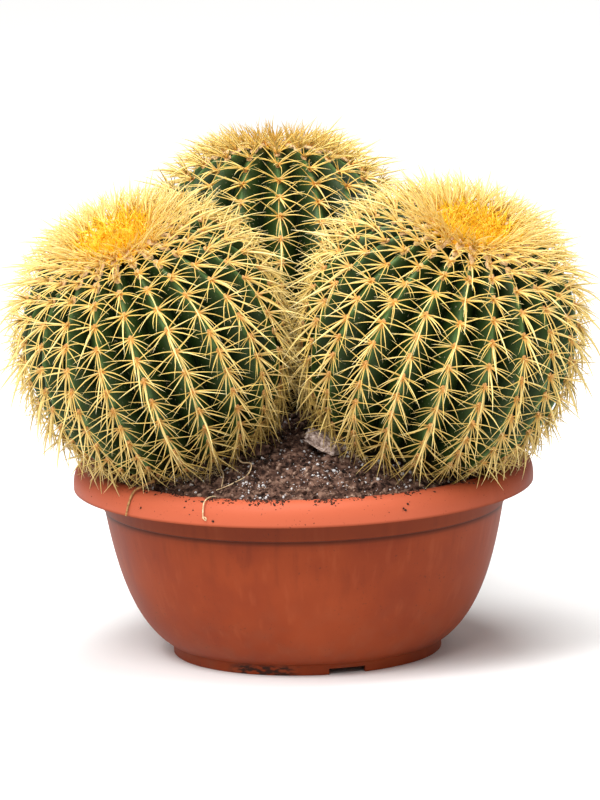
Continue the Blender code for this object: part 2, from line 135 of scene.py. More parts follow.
# %% [markdown]
# ## Meshes from numbers and from node trees
#
# A surface that follows a formula is quickest as a grid of points that closes round. What repeats is left to
# Geometry Nodes: `run_tree` puts a tree on a carrier object, sets the tree's named inputs by their
# identifiers, and keeps the result as a plain mesh.


# %% Making objects
def new_object(name, mesh, material=None):
    """Links a mesh into the scene, smooth shaded, in one material."""
    made = bpy.data.objects.new(name, mesh)
    bpy.context.scene.collection.objects.link(made)
    if material:
        mesh.materials.clear()
        mesh.materials.append(material)
        mesh.shade_smooth()
    return made


def mesh_from(name, shape):
    """The mesh of a bmesh that is done with."""
    mesh = bpy.data.meshes.new(name)
    shape.to_mesh(mesh)
    shape.free()
    return mesh


def evaluated(piece):
    """The mesh that a piece's modifiers make, as a plain mesh."""
    graph = bpy.context.evaluated_depsgraph_get()
    return bpy.data.meshes.new_from_object(piece.evaluated_get(graph))


def closed_grid(name, rows, start, end):
    """A closed skin through rings of points, (rings, columns, 3), with one point at each end."""
    rings, columns = rows.shape[:2]
    points = np.concatenate([[start], rows.reshape(-1, 3), [end]])
    last = len(points) - 1
    faces = []
    for column in range(columns):
        beside = (column + 1) % columns
        faces.append((0, 1 + column, 1 + beside))
        for ring in range(rings - 1):
            a, b = 1 + ring * columns, 1 + (ring + 1) * columns
            faces.append((a + column, b + column, b + beside, a + beside))
        edge = 1 + (rings - 1) * columns
        faces.append((edge + column, last, edge + beside))
    loose = bpy.data.meshes.new(name)
    loose.from_pydata(points.tolist(), [], faces)
    shape = bmesh.new()
    shape.from_mesh(loose)
    bpy.data.meshes.remove(loose)
    bmesh.ops.recalc_face_normals(shape, faces=shape.faces)
    return mesh_from(name, shape)


def ray_tree(mesh):
    """A mesh sorted for quick answers on what a ray meets."""
    return BVHTree.FromPolygons([v.co for v in mesh.vertices], [tuple(p.vertices) for p in mesh.polygons])


def store(mesh, name, values):
    """Keeps one number or one vector for each point of a mesh under a name that node trees can read."""
    values = np.asarray(values, np.float32)
    kind, field = ("FLOAT_VECTOR", "vector") if values.ndim == 2 else ("FLOAT", "value")
    mesh.attributes.new(name, kind, "POINT").data.foreach_set(field, values.ravel())


def run_tree(carrier, tree, **inputs):
    """Evaluates a geometry tree on an object, whose mesh becomes the tree's result."""
    modifier = carrier.modifiers.new("tree", "NODES")
    modifier.node_group = tree
    sockets = {s.name: s.identifier for s in tree.interface.items_tree if s.in_out == "INPUT"}
    for name, value in inputs.items():
        modifier[sockets[name.replace("_", " ")]] = value
    result = evaluated(carrier)
    carrier.modifiers.clear()
    carrier.data = result
    carrier.data.name = carrier.name


def new_tree(name, **inputs):
    """A geometry tree with a geometry input and named inputs, given as name=(socket type, default)."""
    tree = bpy.data.node_groups.new(name, "GeometryNodeTree")
    tree.interface.new_socket("Geometry", in_out="INPUT", socket_type="NodeSocketGeometry")
    tree.interface.new_socket("Geometry", in_out="OUTPUT", socket_type="NodeSocketGeometry")
    for key, (kind, value) in inputs.items():
        name = key.replace("_", " ")
        socket = tree.interface.new_socket(name, in_out="INPUT", socket_type="NodeSocket" + kind)
        if value is not None:
            socket.default_value = value
    return tree, tree.nodes.new("NodeGroupInput").outputs, tree.nodes.new("NodeGroupOutput")


# %% [markdown]
# ## The shape of a barrel cactus
#
# A mature golden barrel is nearly a ball, a little squarer than one at its shoulders, with its growing point
# sunk in a dip. Twenty or so straight ribs run from the crown to the soil. In section a rib has full flanks,
# a narrow crest and a sharp groove. The whole form follows from an outline turned about the plant's own
# leaning axis, so it is worked out as arrays: an angle from the crown and an angle round the axis give a
# point and its directions.

# %% The plant's outline and ribs
BODY_SQUARENESS = 0.93
CROWN_DIP = 0.013
CROWN_DIP_RADIUS = 0.034
RIB_DEPTH = 0.023
CREST_SHARPNESS = 1.45
AREOLE_PITCH = 0.0245
CROWDED_PITCH = 0.0085
CROWDED_STRETCH = 0.095  # along a rib, how far from the crown the areoles stay crowded
NEAR_POLE = 0.001  # the angle at which the outline starts and ends, because a pole itself has no directions
OUTLINE_STEPS = 2000


def smoothstep(values, low, high):
    """0 up to low and 1 from high on, with a soft step between."""
    share = np.clip((values - low) / (high - low), 0, 1)
    return share * share * (3 - 2 * share)


class Plant:
    """One plant: its middle from the pot's axis, the way it grows, and the size of its body."""

    def __init__(self, name, middle, axis, radius, top, bottom, ribs, turn):
        self.name, self.ribs, self.turn = name, ribs, turn
        self.radius, self.top, self.bottom = radius, top, bottom
        self.centre = np.array(middle) + (AXIS_X, AXIS_Y, 0)
        up = Vector(axis).normalized()
        across = up.orthogonal().normalized()
        self.axis, self.across, self.along = np.array(up), np.array(across), np.array(up.cross(across))
        self.polars = np.linspace(NEAR_POLE, math.pi - NEAR_POLE, OUTLINE_STEPS)
        radii, heights = self.outline(self.polars)
        steps = np.hypot(np.diff(radii), np.diff(heights))
        self.arcs = np.concatenate([[0], np.cumsum(steps)])

    def outline(self, polar):
        """Radius and height of the smooth body at an angle from the crown."""
        radius = self.radius * np.maximum(np.sin(polar), 0) ** BODY_SQUARENESS
        cosine = np.sign(np.cos(polar)) * np.abs(np.cos(polar)) ** BODY_SQUARENESS
        height = np.where(cosine > 0, self.top, self.bottom) * cosine
        dip = CROWN_DIP * np.exp(-((radius / CROWN_DIP_RADIUS) ** 2))
        return radius, height - np.where(cosine > 0, dip, 0)

    def frame(self, polar, azimuth):
        """Point, outward normal and downward tangent on the smooth body."""
        step = 0.01
        before = np.array(self.outline(np.maximum(polar - step, NEAR_POLE)))
        after = np.array(self.outline(np.minimum(polar + step, math.pi - NEAR_POLE)))
        radius, height = self.outline(polar)
        slope_r, slope_h = ((after - before) / np.hypot(*(after - before)))[..., None]
        out = np.cos(azimuth)[..., None] * self.across + np.sin(azimuth)[..., None] * self.along
        point = self.centre + out * radius[..., None] + self.axis * height[..., None]
        normal = self.axis * slope_r - out * slope_h
        down = out * slope_r + self.axis * slope_h
        return point, normal, down

    def rib_crest(self, azimuth):
        """1 on a rib's crest, falling to 0 in the groove beside it."""
        phase = (azimuth - self.turn) * self.ribs / (2 * math.pi)
        return 1 - np.abs(2 * (phase - np.round(phase))) ** CREST_SHARPNESS

    def polar_at(self, arc):
        """The angle from the crown at a distance from its middle along the outline."""
        return np.interp(arc, self.arcs, self.polars)

    def pole(self, polar):
        """The point at one end of the axis."""
        return self.frame(np.array(polar), np.array(0.0))[0]


LEFT = Plant("left", (-0.160, -0.085, 0.367), (-0.29, -0.30, 0.90), 0.140, 0.130, 0.156, 20, 0.10)
RIGHT = Plant("right", (0.152, -0.085, 0.366), (0.28, -0.31, 0.90), 0.147, 0.135, 0.160, 21, 0.05)
BACK = Plant("back", (-0.024, 0.176, 0.376), (0.0, 0.36, 0.93), 0.148, 0.148, 0.168, 20, 0.16)
PLANTS = (LEFT, RIGHT, BACK)
for plant in PLANTS:
    print(plant.name, "plant:", plant.ribs, "ribs,", f"{plant.arcs[-1] * 1000:.0f} mm from crown to root")

# %% [markdown]
# ## Where the areoles sit
#
# Spines grow from areoles, felted cushions along each crest. New ones form at the crown, so they are crowded
# there and spread apart as the rib lengthens. Their places come first, because the ribs swell slightly under
# each one.


# %% Areole rows
FIRST_AREOLE = 0.038
FIRST_AREOLE_SPREAD = 0.006
BARE_ROOT_END = 0.06
AREOLES_SPREAD_FROM = 0.03


def areole_arcs(plant, rib):
    """Distances from the crown's middle, along one rib, of its areoles."""
    jitter = random.Random(100 * plant.ribs + rib)
    arc = FIRST_AREOLE + FIRST_AREOLE_SPREAD * jitter.random()
    found = []
    while arc < plant.arcs[-1] - BARE_ROOT_END:
        found.append(arc)
        grown = float(smoothstep(arc, AREOLES_SPREAD_FROM, CROWDED_STRETCH))
        arc += (CROWDED_PITCH + (AREOLE_PITCH - CROWDED_PITCH) * grown) * jitter.uniform(0.93, 1.07)
    return np.array(found)


AREOLES = {plant.name: [areole_arcs(plant, rib) for rib in range(plant.ribs)] for plant in PLANTS}
print("areoles:", {name: sum(map(len, rows)) for name, rows in AREOLES.items()})

# %% [markdown]
# ## Stems
#
# The skin is a closed grid of points, fine enough for the crest to look round. Each point moves in towards
# its groove and out a little under an areole, and slow noise takes the machine-made evenness away. The mesh
# keeps how near each point is to a crest and how old it is, for the skin's colour.

# %% Stem meshes
RINGS_PER_STEM = 150
COLUMNS_PER_RIB = 14
SWELL_HEIGHT = 0.0016
SWELL_REACH = 0.0055
SKIN_WAVE = 0.0008
WAVES_PER_METRE = (28, 75)


def stem_mesh(plant):
    """The ribbed body of one plant as a closed mesh."""
    arcs = np.linspace(0, plant.arcs[-1], RINGS_PER_STEM + 2)[1:-1]
    columns = plant.ribs * COLUMNS_PER_RIB
    azimuths = plant.turn + 2 * math.pi * np.arange(columns) / columns
    polar, azimuth = np.meshgrid(plant.polar_at(arcs), azimuths, indexing="ij")
    point, normal, _ = plant.frame(polar, azimuth)
    crest = plant.rib_crest(azimuth)
    depth = RIB_DEPTH * plant.outline(polar)[0] / plant.radius
    swell = np.zeros_like(crest)
    for rib, row in enumerate(AREOLES[plant.name]):
        near = np.exp(-(((arcs[:, None] - row[None, :]) / SWELL_REACH) ** 2)).sum(axis=1)
        span = (np.arange(-COLUMNS_PER_RIB // 2, COLUMNS_PER_RIB // 2) + rib * COLUMNS_PER_RIB) % columns
        swell[:, span] = near[:, None]
    cushion = SWELL_HEIGHT * (np.minimum(swell, 1.2) - 0.5) * crest**4 * depth / RIB_DEPTH
    rows = point + normal * (cushion - depth * (1 - crest))[..., None]
    slow, quick = WAVES_PER_METRE
    flat = [Vector(p) for p in rows.reshape(-1, 3)]
    waves = np.array([noise.noise(p * slow) + 0.5 * noise.noise(p * quick) for p in flat])
    rows += normal * (SKIN_WAVE * waves.reshape(crest.shape) * (1 - 0.6 * crest))[..., None]
    start, end = plant.pole(NEAR_POLE), plant.pole(math.pi - NEAR_POLE)
    mesh = closed_grid(plant.name + "_cactus_stem_skin", rows, start, end)
    age = np.repeat(arcs / plant.arcs[-1], columns)
    store(mesh, "crest", np.concatenate([[1], crest.ravel(), [0]]))
    store(mesh, "age", np.concatenate([[0], age, [1]]))
    return mesh


STEMS = {plant.name: stem_mesh(plant) for plant in PLANTS}
STEM_TREES = {name: ray_tree(mesh) for name, mesh in STEMS.items()}
print("stem points:", {name: len(mesh.vertices) for name, mesh in STEMS.items()})

# %% [markdown]
# ## The bowl
#
# A potter's wheel and an injection mould make the same kind of form: one section turned about an axis. The
# section runs from the base's underside, out round the foot ring, up the swelling wall and its collar band,
# over the hollow turned-down lip, and back down the inside. Moulded corners are never sharp, so each is
# rounded.

# %% Section of the bowl
LIP_DEPTH = 0.027
WALL = 0.003
FOOT_RADIUS = 0.146
FOOT_RING_WIDTH = 0.0055
FOOT_HEIGHT = 0.0118
BASE_UNDERSIDE = 0.0075
CORNER = 0.0010
FOOT_CORNER = 0.0012
LIP_TOP_RADIUS = 0.232
LIP_BULGE = 0.0012
POT_COLUMNS = 288


def bezier(start, pull_start, pull_end, end, count):
    """Points on a cubic curve in the (radius, height) plane, both ends included."""
    t = np.linspace(0, 1, count)[:, None]
    points = [np.array(p) for p in (start, pull_start, pull_end, end)]
    weights = ((1 - t) ** 3, 3 * t * (1 - t) ** 2, 3 * t * t * (1 - t), t**3)
    return [tuple(p) for p in sum(w * p for w, p in zip(weights, points))]


def rounded(profile, radius, steps=3):
    """The profile with each inner corner replaced by a short arc-like curve."""
    made = [profile[0]]
    for before, corner, after in zip(profile, profile[1:], profile[2:]):
        before, corner, after = Vector(before), Vector(corner), Vector(after)
        reach = min(radius, 0.42 * (corner - before).length, 0.42 * (after - corner).length)
        start = corner + (before - corner).normalized() * reach
        end = corner + (after - corner).normalized() * reach
        for i in range(steps + 1):
            t = i / steps
            made.append(tuple(start * (1 - t) ** 2 + corner * 2 * t * (1 - t) + end * t * t))
    return [*made, profile[-1]]


def inner_wall(count):
    """The bowl's inside from under the lip down to the floor's edge, as (radius, height) points."""
    return bezier((0.2140, 0.1600), (0.204, 0.106), (0.190, 0.0435), (0.1475, 0.0168), count)


def pot_section():
    """The bowl's section, from the underside's centre to the inner floor's centre."""
    lip_edge = POT_HEIGHT - LIP_DEPTH
    inner_foot = FOOT_RADIUS - FOOT_RING_WIDTH
    foot = [(0, BASE_UNDERSIDE), (inner_foot, BASE_UNDERSIDE), (inner_foot, 0), (FOOT_RADIUS, 0)]
    foot += [(FOOT_RADIUS, FOOT_HEIGHT)]
    wall = bezier((0.1497, 0.0125), (0.192, 0.040), (0.207, 0.105), (0.217, 0.1608), 26)
    collar = [(0.2170, 0.1618), (0.2185, 0.1623), (0.2225, 0.2040)]
    lip_underside = [(0.2245, 0.2065), (0.2385, 0.2075), (0.2458, 0.2015), (0.2470, lip_edge)]
    pulls = (RIM_RADIUS + LIP_BULGE, 0.203), (0.2445, POT_HEIGHT)
    lip = bezier((RIM_RADIUS, lip_edge), *pulls, (LIP_TOP_RADIUS, POT_HEIGHT), 12)
    inside_top = [(0.2250, 0.2100), (0.2210, 0.2060), (0.2180, 0.180)]
    floor = [(0.1405, BASE_UNDERSIDE + WALL + 0.0007), (0.0, BASE_UNDERSIDE + WALL)]
    outside = rounded(foot + wall[:1], FOOT_CORNER)[:-1] + wall
    outside += rounded([wall[-1], *collar, *lip_underside, lip[0]], CORNER)[1:] + lip[1:]
    return outside + inside_top + inner_wall(14) + floor


SECTION = pot_section()
print("points in the bowl's section:", len(SECTION))

# %% [markdown]
# ## Notches and drain holes
#
# Three notches in the foot ring let water out from under the base, where six holes drain it. They are cut
# with Boolean modifiers, as the mould's inserts would leave them. The lip of a real bowl this size is never
# quite round, so a slow wave a fraction of a millimetre deep runs round it before the cuts.

# %% The bowl's mesh
NOTCH_WIDTH = 0.041
NOTCH_HEIGHT = 0.0068
NOTCH_AZIMUTHS = (-73.0, 47.0, 167.0)
DRAIN_RADIUS = 0.006
DRAIN_RING_RADIUS = 0.100
DRAIN_COUNT = 6
LIP_WAVE = 0.0004
SHARP_FROM = math.radians(40)  # edges that turn by more look sharp


def turned(section, columns, wave=0.0):
    """Rings of points round the pot's axis from a (radius, height) section, without its two ends."""
    radius, height = np.array(section[1:-1]).T
    angle = 2 * math.pi * np.arange(columns) / columns
    high = smoothstep(height, 0.05, POT_HEIGHT)[:, None]
    waves = np.sin(2 * angle + 0.6) + 0.5 * np.sin(5 * angle)
    pushed = radius[:, None] + wave * high * waves[None, :]
    x, y = AXIS_X + pushed * np.cos(angle), AXIS_Y + pushed * np.sin(angle)
    return np.stack([x, y, np.broadcast_to(height[:, None], x.shape)], axis=-1)


def cutter(name, place, turn, make):
    """A block or cylinder to cut with, made by a bmesh operator."""
    shape = bmesh.new()
    make(shape)
    shape.transform(Matrix.Translation(place) @ Matrix.Rotation(turn, 4, "Z"))
    return new_object(name, mesh_from(name, shape))


def notch_block(shape):
    bmesh.ops.create_cube(shape, size=1.0)
    bmesh.ops.scale(shape, vec=(0.020, NOTCH_WIDTH, 2 * NOTCH_HEIGHT), verts=shape.verts)


def drain_pin(shape):
    sizes = {"radius1": DRAIN_RADIUS, "radius2": DRAIN_RADIUS, "depth": 0.02}
    bmesh.ops.create_cone(shape, cap_ends=True, segments=32, **sizes)


def from_axis(radius, height, degrees):
    """A place given by its distance from the pot's axis, its height and its angle."""
    turn = math.radians(degrees)
    return (AXIS_X + radius * math.cos(turn), AXIS_Y + radius * math.sin(turn), height)


def pot_cutters():
    """The notches' blocks and the drain holes' pins."""
    ring = FOOT_RADIUS - FOOT_RING_WIDTH / 2
    drains = [360 * i / DRAIN_COUNT for i in range(DRAIN_COUNT)]
    made = [cutter("notch", from_axis(ring, 0, a), math.radians(a), notch_block) for a in NOTCH_AZIMUTHS]
    made += [cutter("drain", from_axis(DRAIN_RING_RADIUS, BASE_UNDERSIDE, a), 0, drain_pin) for a in drains]
    return made


def cut_pot():
    """The bowl with its notches and holes, as one plain mesh."""
    start, end = (AXIS_X, AXIS_Y, SECTION[0][1]), (AXIS_X, AXIS_Y, SECTION[-1][1])
    rings = turned(SECTION, POT_COLUMNS, LIP_WAVE)
    pot = new_object("terracotta_bowl", closed_grid("terracotta_bowl", rings, start, end))
    cutters = pot_cutters()
    for tool in cutters:
        cut = pot.modifiers.new(tool.name, "BOOLEAN")
        cut.operation, cut.object = "DIFFERENCE", tool
    mesh = evaluated(pot)
    pot.modifiers.clear()
    pot.data = mesh
    for tool in cutters:
        bpy.data.objects.remove(tool)
    mesh.shade_smooth()
    mesh.set_sharp_from_angle(angle=SHARP_FROM)
    return pot


POT = cut_pot()
print("bowl faces:", len(POT.data.polygons))

# %% [markdown]
# ## Potting mix
#
# The mix is heaped between the plants and pressed down where they sit. Its surface is a fine polar grid
# whose height is the mound plus lumps at three sizes, held just under any stem above it. The grid carries on
# down inside the bowl, so that the block is closed. `open` marks the ground that isn't under a plant, for
# the grains.

# %% The mound
SOIL_RADIUS = 0.2150
SOIL_EDGE_HEIGHT = 0.2055
MOUND_RISE = 0.045
MOUND_CENTRE_Y = 0.015
SOIL_RINGS = 130
SOIL_COLUMNS = 400
CLOD_RELIEF, CLODS_PER_METRE = 0.0090, 34
CRUMB_RELIEF, CRUMBS_PER_METRE = 0.0085, 80
GRIT_RELIEF, GRIT_PER_METRE = 0.0018, 300
LUMPS_LOWERED = 0.0022  # about what the crumbs add, so that the mound keeps its height
FLAT_AT_WALL_FROM = 0.192
UNDER_STEM = 0.0012
OPEN_ROOM = 0.002
GAP = 0.0004  # between the mix and the bowl


def mound_height(x, y):
    """Height of the heap at a place from the pot's axis."""
    reach = math.hypot(x, y - MOUND_CENTRE_Y) / (SOIL_RADIUS + MOUND_CENTRE_Y)
    return SOIL_EDGE_HEIGHT + MOUND_RISE * (1 - min(reach, 1.0) ** 2.4)


def lump_height(x, y):
    """Hollows, clods and crumbs, nearly flat at the bowl's wall."""
    fade = 1 - float(smoothstep(math.hypot(x, y), FLAT_AT_WALL_FROM, SOIL_RADIUS))
    clods = CLOD_RELIEF * noise.noise(Vector((x * CLODS_PER_METRE, y * CLODS_PER_METRE, 3.0)))
    crumb = noise.noise(Vector((x * CRUMBS_PER_METRE, y * CRUMBS_PER_METRE, 7.0)))
    crumbs = CRUMB_RELIEF * abs(crumb) ** 0.8
    grit = GRIT_RELIEF * noise.noise(Vector((x * GRIT_PER_METRE, y * GRIT_PER_METRE, 5.0)))
    return (clods + crumbs) * (0.2 + 0.8 * fade) + grit - LUMPS_LOWERED


def ground(x, y):
    """Height of the mix at a place from the pot's axis, and how far a stem hangs above it."""
    height = mound_height(x, y) + lump_height(x, y)
    room = 1.0
    for tree in STEM_TREES.values():
        hit = tree.ray_cast(Vector((AXIS_X + x, AXIS_Y + y, 0.15)), Vector((0, 0, 1)))[0]
        if hit:
            room = min(room, hit.z - height)
    return (height + room - UNDER_STEM if room < UNDER_STEM else height), room


def soil_mesh():
    """The block of mix, closed down the inside of the bowl."""
    radii = SOIL_RADIUS * np.linspace(0, 1, SOIL_RINGS + 1)[1:]
    angles = 2 * math.pi * np.arange(SOIL_COLUMNS) / SOIL_COLUMNS
    rows = np.zeros((SOIL_RINGS, SOIL_COLUMNS, 3))
    open_ground = np.zeros((SOIL_RINGS, SOIL_COLUMNS))
    for i, radius in enumerate(radii):
        for j, angle in enumerate(angles):
            x, y = radius * math.cos(angle), radius * math.sin(angle)
            height, room = ground(x, y)
            rows[i, j] = (AXIS_X + x, AXIS_Y + y, height)
            open_ground[i, j] = room > OPEN_ROOM
    inside = [(0.2155, 0.180), *inner_wall(6)[:-1], (0.1440, 0.0160)]
    sides = turned([(0, 0), *[(r - 3 * GAP, h + GAP) for r, h in inside], (0, 0)], SOIL_COLUMNS)
    start = (AXIS_X, AXIS_Y, ground(0, 0)[0])
    floor = (AXIS_X, AXIS_Y, BASE_UNDERSIDE + WALL + 2 * GAP)
    mesh = closed_grid("potting_mix_mound", np.concatenate([rows, sides]), start, floor)
    store(mesh, "open", np.concatenate([[1], open_ground.ravel(), np.zeros(sides[..., 0].size + 1)]))
    return mesh


SOIL = soil_mesh()
print("mound peak:", round(max(v.co.z for v in SOIL.vertices), 4))

# %% [markdown]
# ## What a spine must not pass through
#
# Long spines reach towards the neighbouring plants, the soil and the rim. One mesh of all of those, removed once
# the spines are made, lets the spine tree cast a ray along each spine and stop it short. Real spines that met
# the soil or a neighbour while they grew were blunted or pushed aside in the same way.


# %% Obstacles
def joined(name, meshes):
    """One object of several meshes, for rays to meet."""
    shape = bmesh.new()
    for mesh in meshes:
        shape.from_mesh(mesh)
    return new_object(name, mesh_from(name, shape))


OBSTACLE = joined("obstacles", [*STEMS.values(), SOIL, POT.data])
print("faces that a spine stops at:", len(OBSTACLE.data.polygons))

# %% [markdown]
# ## One spine
#
# A spine is a tapered, slightly flattened rod with a swollen foot, curved more towards its tip. It is a
# curve given a small five-sided section. Two values are kept along the way, the place along the spine and
# round it, because later they become the spine's own map for its colours.

# %% The spine's tree
MATH, VECTOR, RANGE = "ShaderNodeMath", "ShaderNodeVectorMath", "ShaderNodeMapRange"
NAMED, KEEP = "GeometryNodeInputNamedAttribute", "GeometryNodeStoreNamedAttribute"
ALIGN, RANDOM = "FunctionNodeAlignRotationToVector", "FunctionNodeRandomValue"


def spine_tree():
    """One spine along +Z from the origin, bending towards +X."""
    sizes = {"Length": ("Float", 0.03), "Base_Radius": ("Float", 0.001), "Curl": ("Float", 0.1)}
    tree, given, out = new_tree("one_spine", **sizes, Rings=("Int", 6), Sides=("Int", 5))
    end = add(tree, "ShaderNodeCombineXYZ", {"Z": given["Length"]})
    line = add(tree, "GeometryNodeCurvePrimitiveLine", {"End": end})
    points = add(tree, "GeometryNodeResampleCurve", {"Curve": line, "Count": given["Rings"]})
    along = add(tree, "GeometryNodeSplineParameter")
    squared = add(tree, MATH, {0: along, 1: 2.0}, operation="POWER")
    curled = add(tree, MATH, {0: squared, 1: given["Curl"]}, operation="MULTIPLY")
    sideways = add(tree, MATH, {0: curled, 1: given["Length"]}, operation="MULTIPLY")
    offset = add(tree, "ShaderNodeCombineXYZ", {"X": sideways})
    bent = add(tree, "GeometryNodeSetPosition", {"Geometry": points, "Offset": offset})
    kept = add(tree, KEEP, {"Geometry": bent, "Name": "along", "Value": along}, data_type="FLOAT")
    thinned = add(tree, MATH, {0: along, 1: 1.7}, operation="POWER")
    taper = add(tree, "ShaderNodeMapRange", {"Value": thinned, "To Min": 1.0, "To Max": 0.07})
    swell = add(tree, "ShaderNodeMapRange", {"Value": along, "From Max": 0.16, "To Min": 0.35, "To Max": 0.0})
    width = add(tree, MATH, {0: taper, 1: swell}, operation="ADD")
    scale = add(tree, MATH, {0: width, 1: given["Base Radius"]}, operation="MULTIPLY")
    circle = add(tree, "GeometryNodeCurvePrimitiveCircle", {"Resolution": given["Sides"], "Radius": 1.0})
    marked = add(tree, KEEP, {"Geometry": circle, "Name": "around", "Value": along}, data_type="FLOAT")
    flat = add(tree, "GeometryNodeTransform", {"Geometry": marked, "Scale": (1.0, 1.3, 1.0)})
    links = {"Curve": kept, "Profile Curve": flat, "Scale": scale, "Fill Caps": True}
    feed(tree, out, {"Geometry": add(tree, "GeometryNodeCurveToMesh", links)})
    return tree


ONE_SPINE = spine_tree()
print("nodes in one spine:", len(ONE_SPINE.nodes))

# %% [markdown]
# ## A cluster on every areole
#
# The spines of an areole fan out round it, leaning away from the skin. The tree copies each areole's point
# once per spine, and works out a direction from the areole's own frame: outwards, down the rib and sideways.
# Young spines near the crown stand up, old ones near the soil hang. A ray along that direction shortens any
# spine that would meet something. Four degrees of curl are made once and picked from, which looks varied and
# costs nothing.


# %% What the trees share
def attribute(tree, name, kind="FLOAT"):
    """What a point of the carrier keeps under a name."""
    return add(tree, NAMED, {"Name": name}, data_type=kind).outputs[0]


def mapped_spines(tree, instances, finish):
    """Ends a spine tree: plain mesh, a map of (tint, place along) for the colours, and the finish."""
    mesh = add(tree, "GeometryNodeRealizeInstances", {"Geometry": instances})
    column = add(tree, MATH, {0: attribute(tree, "tint"), 1: 0.92, 2: 0.02}, operation="MULTIPLY_ADD")
    u = add(tree, MATH, {0: attribute(tree, "around"), 1: 0.04, 2: column}, operation="MULTIPLY_ADD")
    v = add(tree, MATH, {0: attribute(tree, "along"), 1: 0.96, 2: 0.02}, operation="MULTIPLY_ADD")
    place = add(tree, "ShaderNodeCombineXYZ", {"X": u, "Y": v})
    links = {"Geometry": mesh, "Name": "OFBake", "Value": place}
    mapped = add(tree, KEEP, links, data_type="FLOAT2", domain="CORNER")
    return add(tree, "GeometryNodeSetMaterial", {"Geometry": mapped, "Material": finish})


def curled_set(tree, given, curls):
    """Spines of several curls as separate instances to pick from."""
    together = tree.nodes.new("GeometryNodeJoinGeometry")
    sizes = {name: given[name] for name in ("Length", "Base Radius", "Rings", "Sides")}
    for curl in curls:
        spine = add(tree, "GeometryNodeGroup", sizes | {"Curl": curl}, node_tree=ONE_SPINE)
        feed(tree, together, {0: add(tree, "GeometryNodeGeometryToInstance", {"Geometry": spine})})
    return together


def random_value(tree, seed, draw, low, high):
    """A random number for each element, from the tree's seed and the number of this draw."""
    own = add(tree, MATH, {0: seed, 1: draw * 100.0}, operation="ADD")
    return add(tree, RANDOM, {2: low, 3: high, 8: own}, data_type="FLOAT").outputs[1]


def random_pick(tree, variants, seed):
    """A random whole number for each element, to pick one of several variants."""
    return add(tree, RANDOM, {4: 0, 5: variants - 1, 8: seed}, data_type="INT").outputs[2]


def turned_to(tree, pointing, facing):
    """A rotation that takes +Z to one direction and then +X as near as it can to another."""
    upright = add(tree, ALIGN, {"Vector": pointing}, axis="Z")
    return add(tree, ALIGN, {"Rotation": upright, "Vector": facing}, axis="X", pivot_axis="Z")


# %% [markdown]
# ## Which way a spine grows
#
# A direction has two parts, how far it leans from the areole's normal and how far round the areole it is turned.
# Each gets its own small function, so that the long sum that joins them stays readable.

# %% Lean, turn and direction
def spine_lean(tree, given, age):
    """How far a spine leans from its areole's normal: old ones more than young ones."""
    chance = random_value(tree, given["Seed"], 12, -1.3, 1.1)
    links = {0: chance, 1: given["Lean Spread"], 2: given["Lean"]}
    wobble = add(tree, MATH, links, operation="MULTIPLY_ADD")
    links = {"Value": age, "From Min": 0.10, "From Max": 0.36, "To Min": given["Young Lean"]}
    return add(tree, MATH, {0: wobble, 1: add(tree, RANGE, links)}, operation="MULTIPLY")


def spine_turn(tree, given, number):
    """The angle round its areole at which a spine grows, from its number in the fan."""
    place = add(tree, MATH, {0: number, 1: 0.5}, operation="ADD")
    share = add(tree, MATH, {0: place, 1: given["Spines"]}, operation="DIVIDE")
    centred = add(tree, MATH, {0: share, 1: 0.5}, operation="SUBTRACT")
    links = {0: centred, 1: given["Fan"], 2: given["First"]}
    spread = add(tree, MATH, links, operation="MULTIPLY_ADD")
    chance = random_value(tree, given["Seed"], 11, -0.2, 0.2)
    return add(tree, MATH, {0: spread, 1: chance}, operation="ADD")


def spine_direction(tree, given, number, normal, down, age):
    """A spine's direction: from the areole's frame, splayed down the rib when young, hanging when old."""
    side = add(tree, VECTOR, {0: normal, 1: down}, operation="CROSS_PRODUCT")
    azimuth, lean = spine_turn(tree, given, number), spine_lean(tree, given, age)
    cosine, sine = [add(tree, MATH, {0: azimuth}, operation=kind) for kind in ("COSINE", "SINE")]
    downward = add(tree, VECTOR, {0: down, "Scale": cosine}, operation="SCALE")
    sideward = add(tree, VECTOR, {0: side, "Scale": sine}, operation="SCALE")
    flat = add(tree, VECTOR, {0: downward, 1: sideward}, operation="ADD")
    cosine, sine = [add(tree, MATH, {0: lean}, operation=kind) for kind in ("COSINE", "SINE")]
    outward = add(tree, VECTOR, {0: normal, "Scale": cosine}, operation="SCALE")
    level = add(tree, VECTOR, {0: flat, "Scale": sine}, operation="SCALE")
    free = add(tree, VECTOR, {0: outward, 1: level}, operation="ADD")
    old = add(tree, MATH, {0: age, 1: 5.0}, operation="POWER")
    hang = add(tree, MATH, {0: old, 1: given["Droop"]}, operation="MULTIPLY")
    pull = add(tree, VECTOR, {0: (0.0, 0.0, -1.0), "Scale": hang}, operation="SCALE")
    pulled = add(tree, VECTOR, {0: free, 1: pull}, operation="ADD")
    links = {"Value": age, "From Min": 0.07, "From Max": 0.24, "To Min": 0.5, "To Max": 0.0}
    splay = add(tree, VECTOR, {0: down, "Scale": add(tree, RANGE, links)}, operation="SCALE")
    splayed = add(tree, VECTOR, {0: pulled, 1: splay}, operation="ADD")
    return add(tree, VECTOR, {0: splayed}, operation="NORMALIZE").outputs[0]


# %% [markdown]
# ## The whole cluster
#
# A ray starts a little off the skin, so that it doesn't meet its own areole. A spine that would be shorter than
# about a third of its length is left out, as a stub would look broken off.

# %% The cluster tree
RAY_START = 0.0045
SHORTEST_SPINE, LONGEST_SPINE = 0.3, 1.2  # shares of the given length
CURLS = (0.05, 0.17, 0.30, 0.44)


